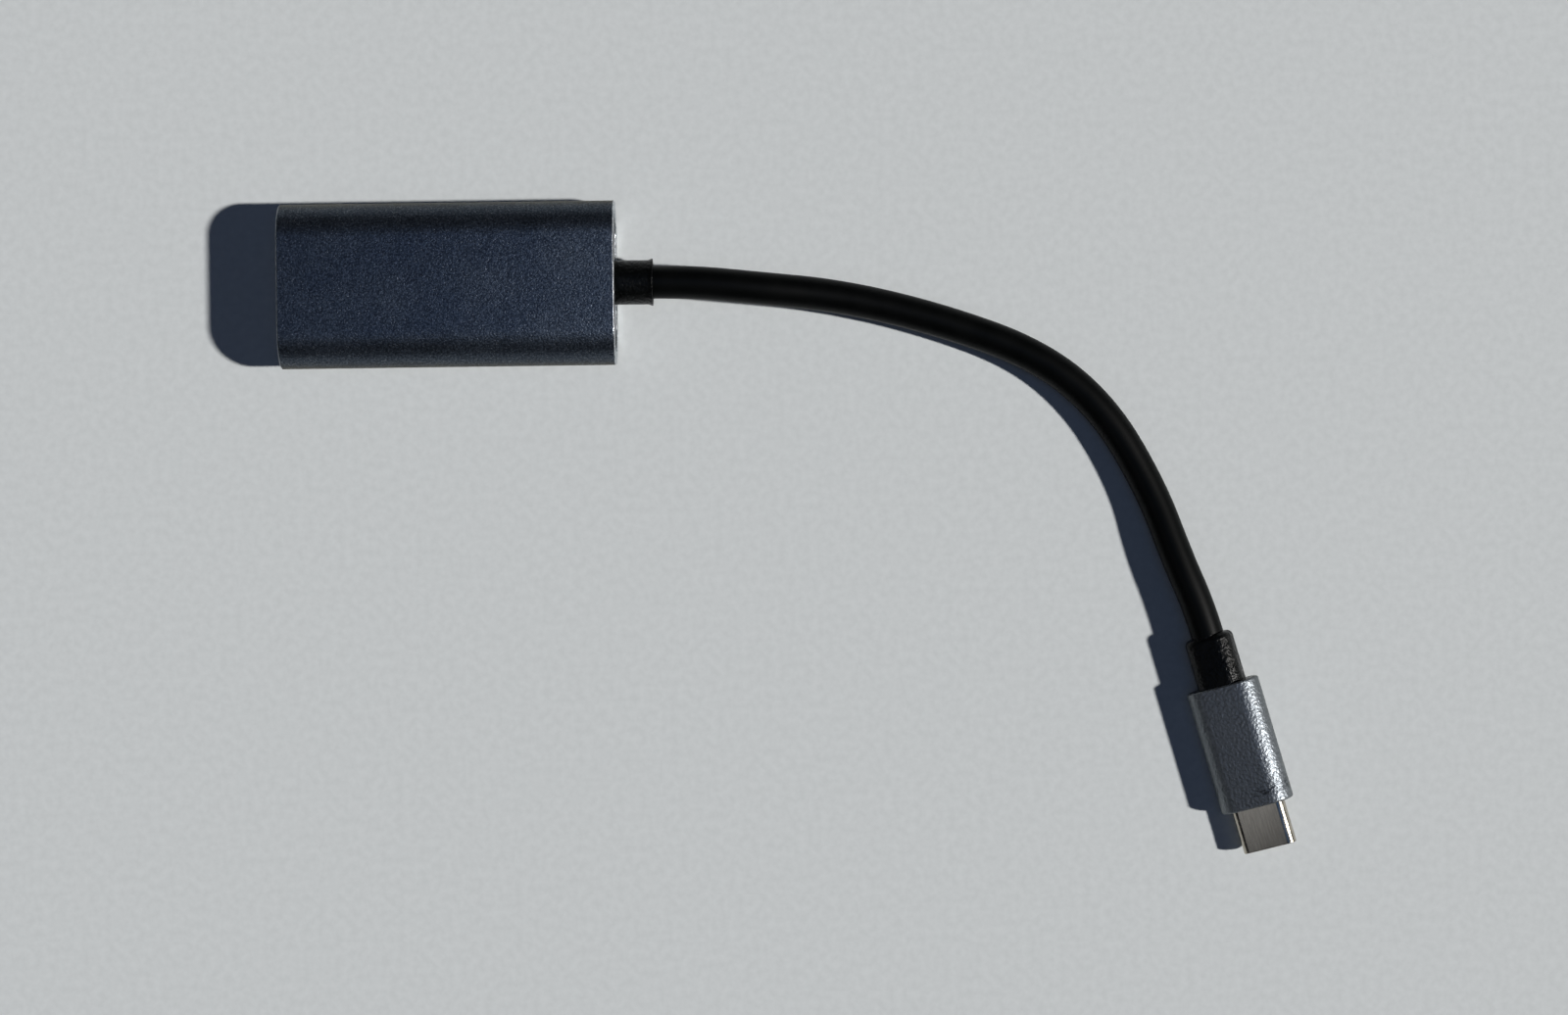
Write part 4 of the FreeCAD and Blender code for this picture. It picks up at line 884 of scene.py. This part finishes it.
# Pieces that show through the two mouths and the sleeve's end keep the CAD shape, with softer edges
softened = [
    # node, name, finish, edge in mm, slot, whether it is on the plug
    ("socket_shell", "socketShell", "plate", 0.05, "plated_steel", False),
    ("socket_tongue", "socketTongue", "insulator", 0.05, "insulator_plastic", False),
    ("plug_inner_mould", "plugCore", "core", 0.08, "black_plastic", True),
    ("plug_insulator", "plugInsulator", "insulator", 0.04, "insulator_plastic", True),
    ("plug_latch_springs", "plugLatchSprings", "nose", 0.03, "nose_steel", True),
    ("plug_ground_springs", "plugGroundSprings", "nose", 0.02, "nose_steel", True),
]
for node, name, look, edge, slotName, onPlug in softened:
    piece = softenedCopy(node, name, [finish[look]], edge, plugPlace if onPlug else None)
    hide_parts(node)
print("inner pieces softened")

# What stays out of sight keeps its CAD mesh and gets its real finish
innerFinish = {
    "main_board": "board", "converter_chip": "resin", "memory_chip": "resin", "regulator_chip": "resin",
    "clock_crystal": "plate", "power_inductor": "ferrite", "ceramic_capacitors": "ceramic",
    "chip_resistors": "ferrite", "braid_clamp": "brass", "cable_tail": "jacket", "board_wires": "wire",
    "plug_cable_tail": "jacket", "plug_shield_can": "plate", "plug_board": "board",
    "plug_marker_chip": "resin", "plug_wires": "wire",
}
for node, look in innerFinish.items():
    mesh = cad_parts[node].data
    mesh.materials.clear()
    mesh.materials.append(finish[look])
print("inner nodes finished:", len(innerFinish))


# Studio
studio = {
    "floorSide": 4.0, "floorDrop": 0.00002,                 # metres
    "floorStops": [(0.3, "#c9cdce"), (0.7, "#d0d4d5")], "floorTooth": 1.2, "floorRoughness": 0.8,
    "skyStops": [(0.0, "#55595d"), (0.12, "#1a1a1e"), (0.92, "#1a1b1f"), (1.0, "#4f76ad")],
    "skyStrength": 1.0,
    "keyTurn": -7.0, "keyRise": 42.0, "keySpread": 3.0,     # degrees
    "keyAway": 1.0, "keyPower": 3.78, "keyColour": "#fffdfa",
    "cardTurn": 205.0, "cardRise": 55.0,                    # degrees
    "cardAway": 1.2, "cardSide": 0.5, "cardPower": 0.375, "cardColour": "#eff4ff",
}


def buildFloor():
    # a plain pale board with a faint tooth
    half = studio["floorSide"] / 2
    mesh = bpy.data.meshes.new("studioFloor")
    drop = -studio["floorDrop"]
    corners = [(-half, -half, drop), (half, -half, drop), (half, half, drop), (-half, half, drop)]
    mesh.from_pydata(corners, [], [(0, 1, 2, 3)])
    material, tree, shader = newMaterial("paintedBoard")
    place = surfacePlace(tree, False)
    tooth = addNode(tree, "ShaderNodeTexNoise", {
        "Vector": place, "Scale": perMm(studio["floorTooth"]), "Detail": plainDetail})
    ramp = addNode(tree, "ShaderNodeValToRGB", {"Fac": tooth.outputs["Fac"]})
    setColours(ramp, studio["floorStops"])
    tree.links.new(ramp.outputs["Color"], shader.inputs["Base Color"])
    shader.inputs["Roughness"].default_value = studio["floorRoughness"]
    mesh.materials.append(material)
    floor = bpy.data.objects.new("studioFloor", mesh)
    scene.collection.objects.link(floor)


def buildSky():
    # a dim room, paler near the floor, with a small blue patch overhead
    world = bpy.data.worlds.new("studioSky")
    world.use_nodes = True
    tree = world.node_tree
    tree.nodes.clear()
    direction = addNode(tree, "ShaderNodeTexCoord")
    height = addNode(tree, "ShaderNodeSeparateXYZ", {"Vector": direction.outputs["Generated"]})
    ramp = addNode(tree, "ShaderNodeValToRGB", {"Fac": height.outputs["Z"]})
    setColours(ramp, studio["skyStops"])
    light = addNode(tree, "ShaderNodeBackground", {
        "Color": ramp.outputs["Color"], "Strength": studio["skyStrength"]})
    addNode(tree, "ShaderNodeOutputWorld", {"Surface": light.outputs[0]})
    scene.world = world


def skyDirection(turn, rise):
    turn, rise = math.radians(turn), math.radians(rise)
    return Vector((math.cos(turn) * math.cos(rise), math.sin(turn) * math.cos(rise), math.sin(rise)))


def placeLight(name, data, direction, away):
    # a light that looks back from its direction at the middle of the picture
    middle = Vector((cameraSetup["place"][0], cameraSetup["place"][1], 0))
    light = bpy.data.objects.new(name, data)
    light.location = middle + direction * away
    light.rotation_euler = direction.to_track_quat("Z", "Y").to_euler()
    scene.collection.objects.link(light)


def buildLights():
    # one even key from the right, and a dim card at the left that the tilted plug mirrors
    key = bpy.data.lights.new("keyLight", "SUN")
    key.angle = math.radians(studio["keySpread"])
    key.energy = studio["keyPower"]
    key.color = toLinear(studio["keyColour"])[:3]
    placeLight("keyLight", key, skyDirection(studio["keyTurn"], studio["keyRise"]), studio["keyAway"])
    card = bpy.data.lights.new("fillCard", "AREA")
    card.size = studio["cardSide"]
    card.energy = studio["cardPower"]
    card.color = toLinear(studio["cardColour"])[:3]
    placeLight("fillCard", card, skyDirection(studio["cardTurn"], studio["cardRise"]), studio["cardAway"])


buildFloor()
buildSky()
buildLights()
scene.view_settings.view_transform = "Standard"
print("studio set")
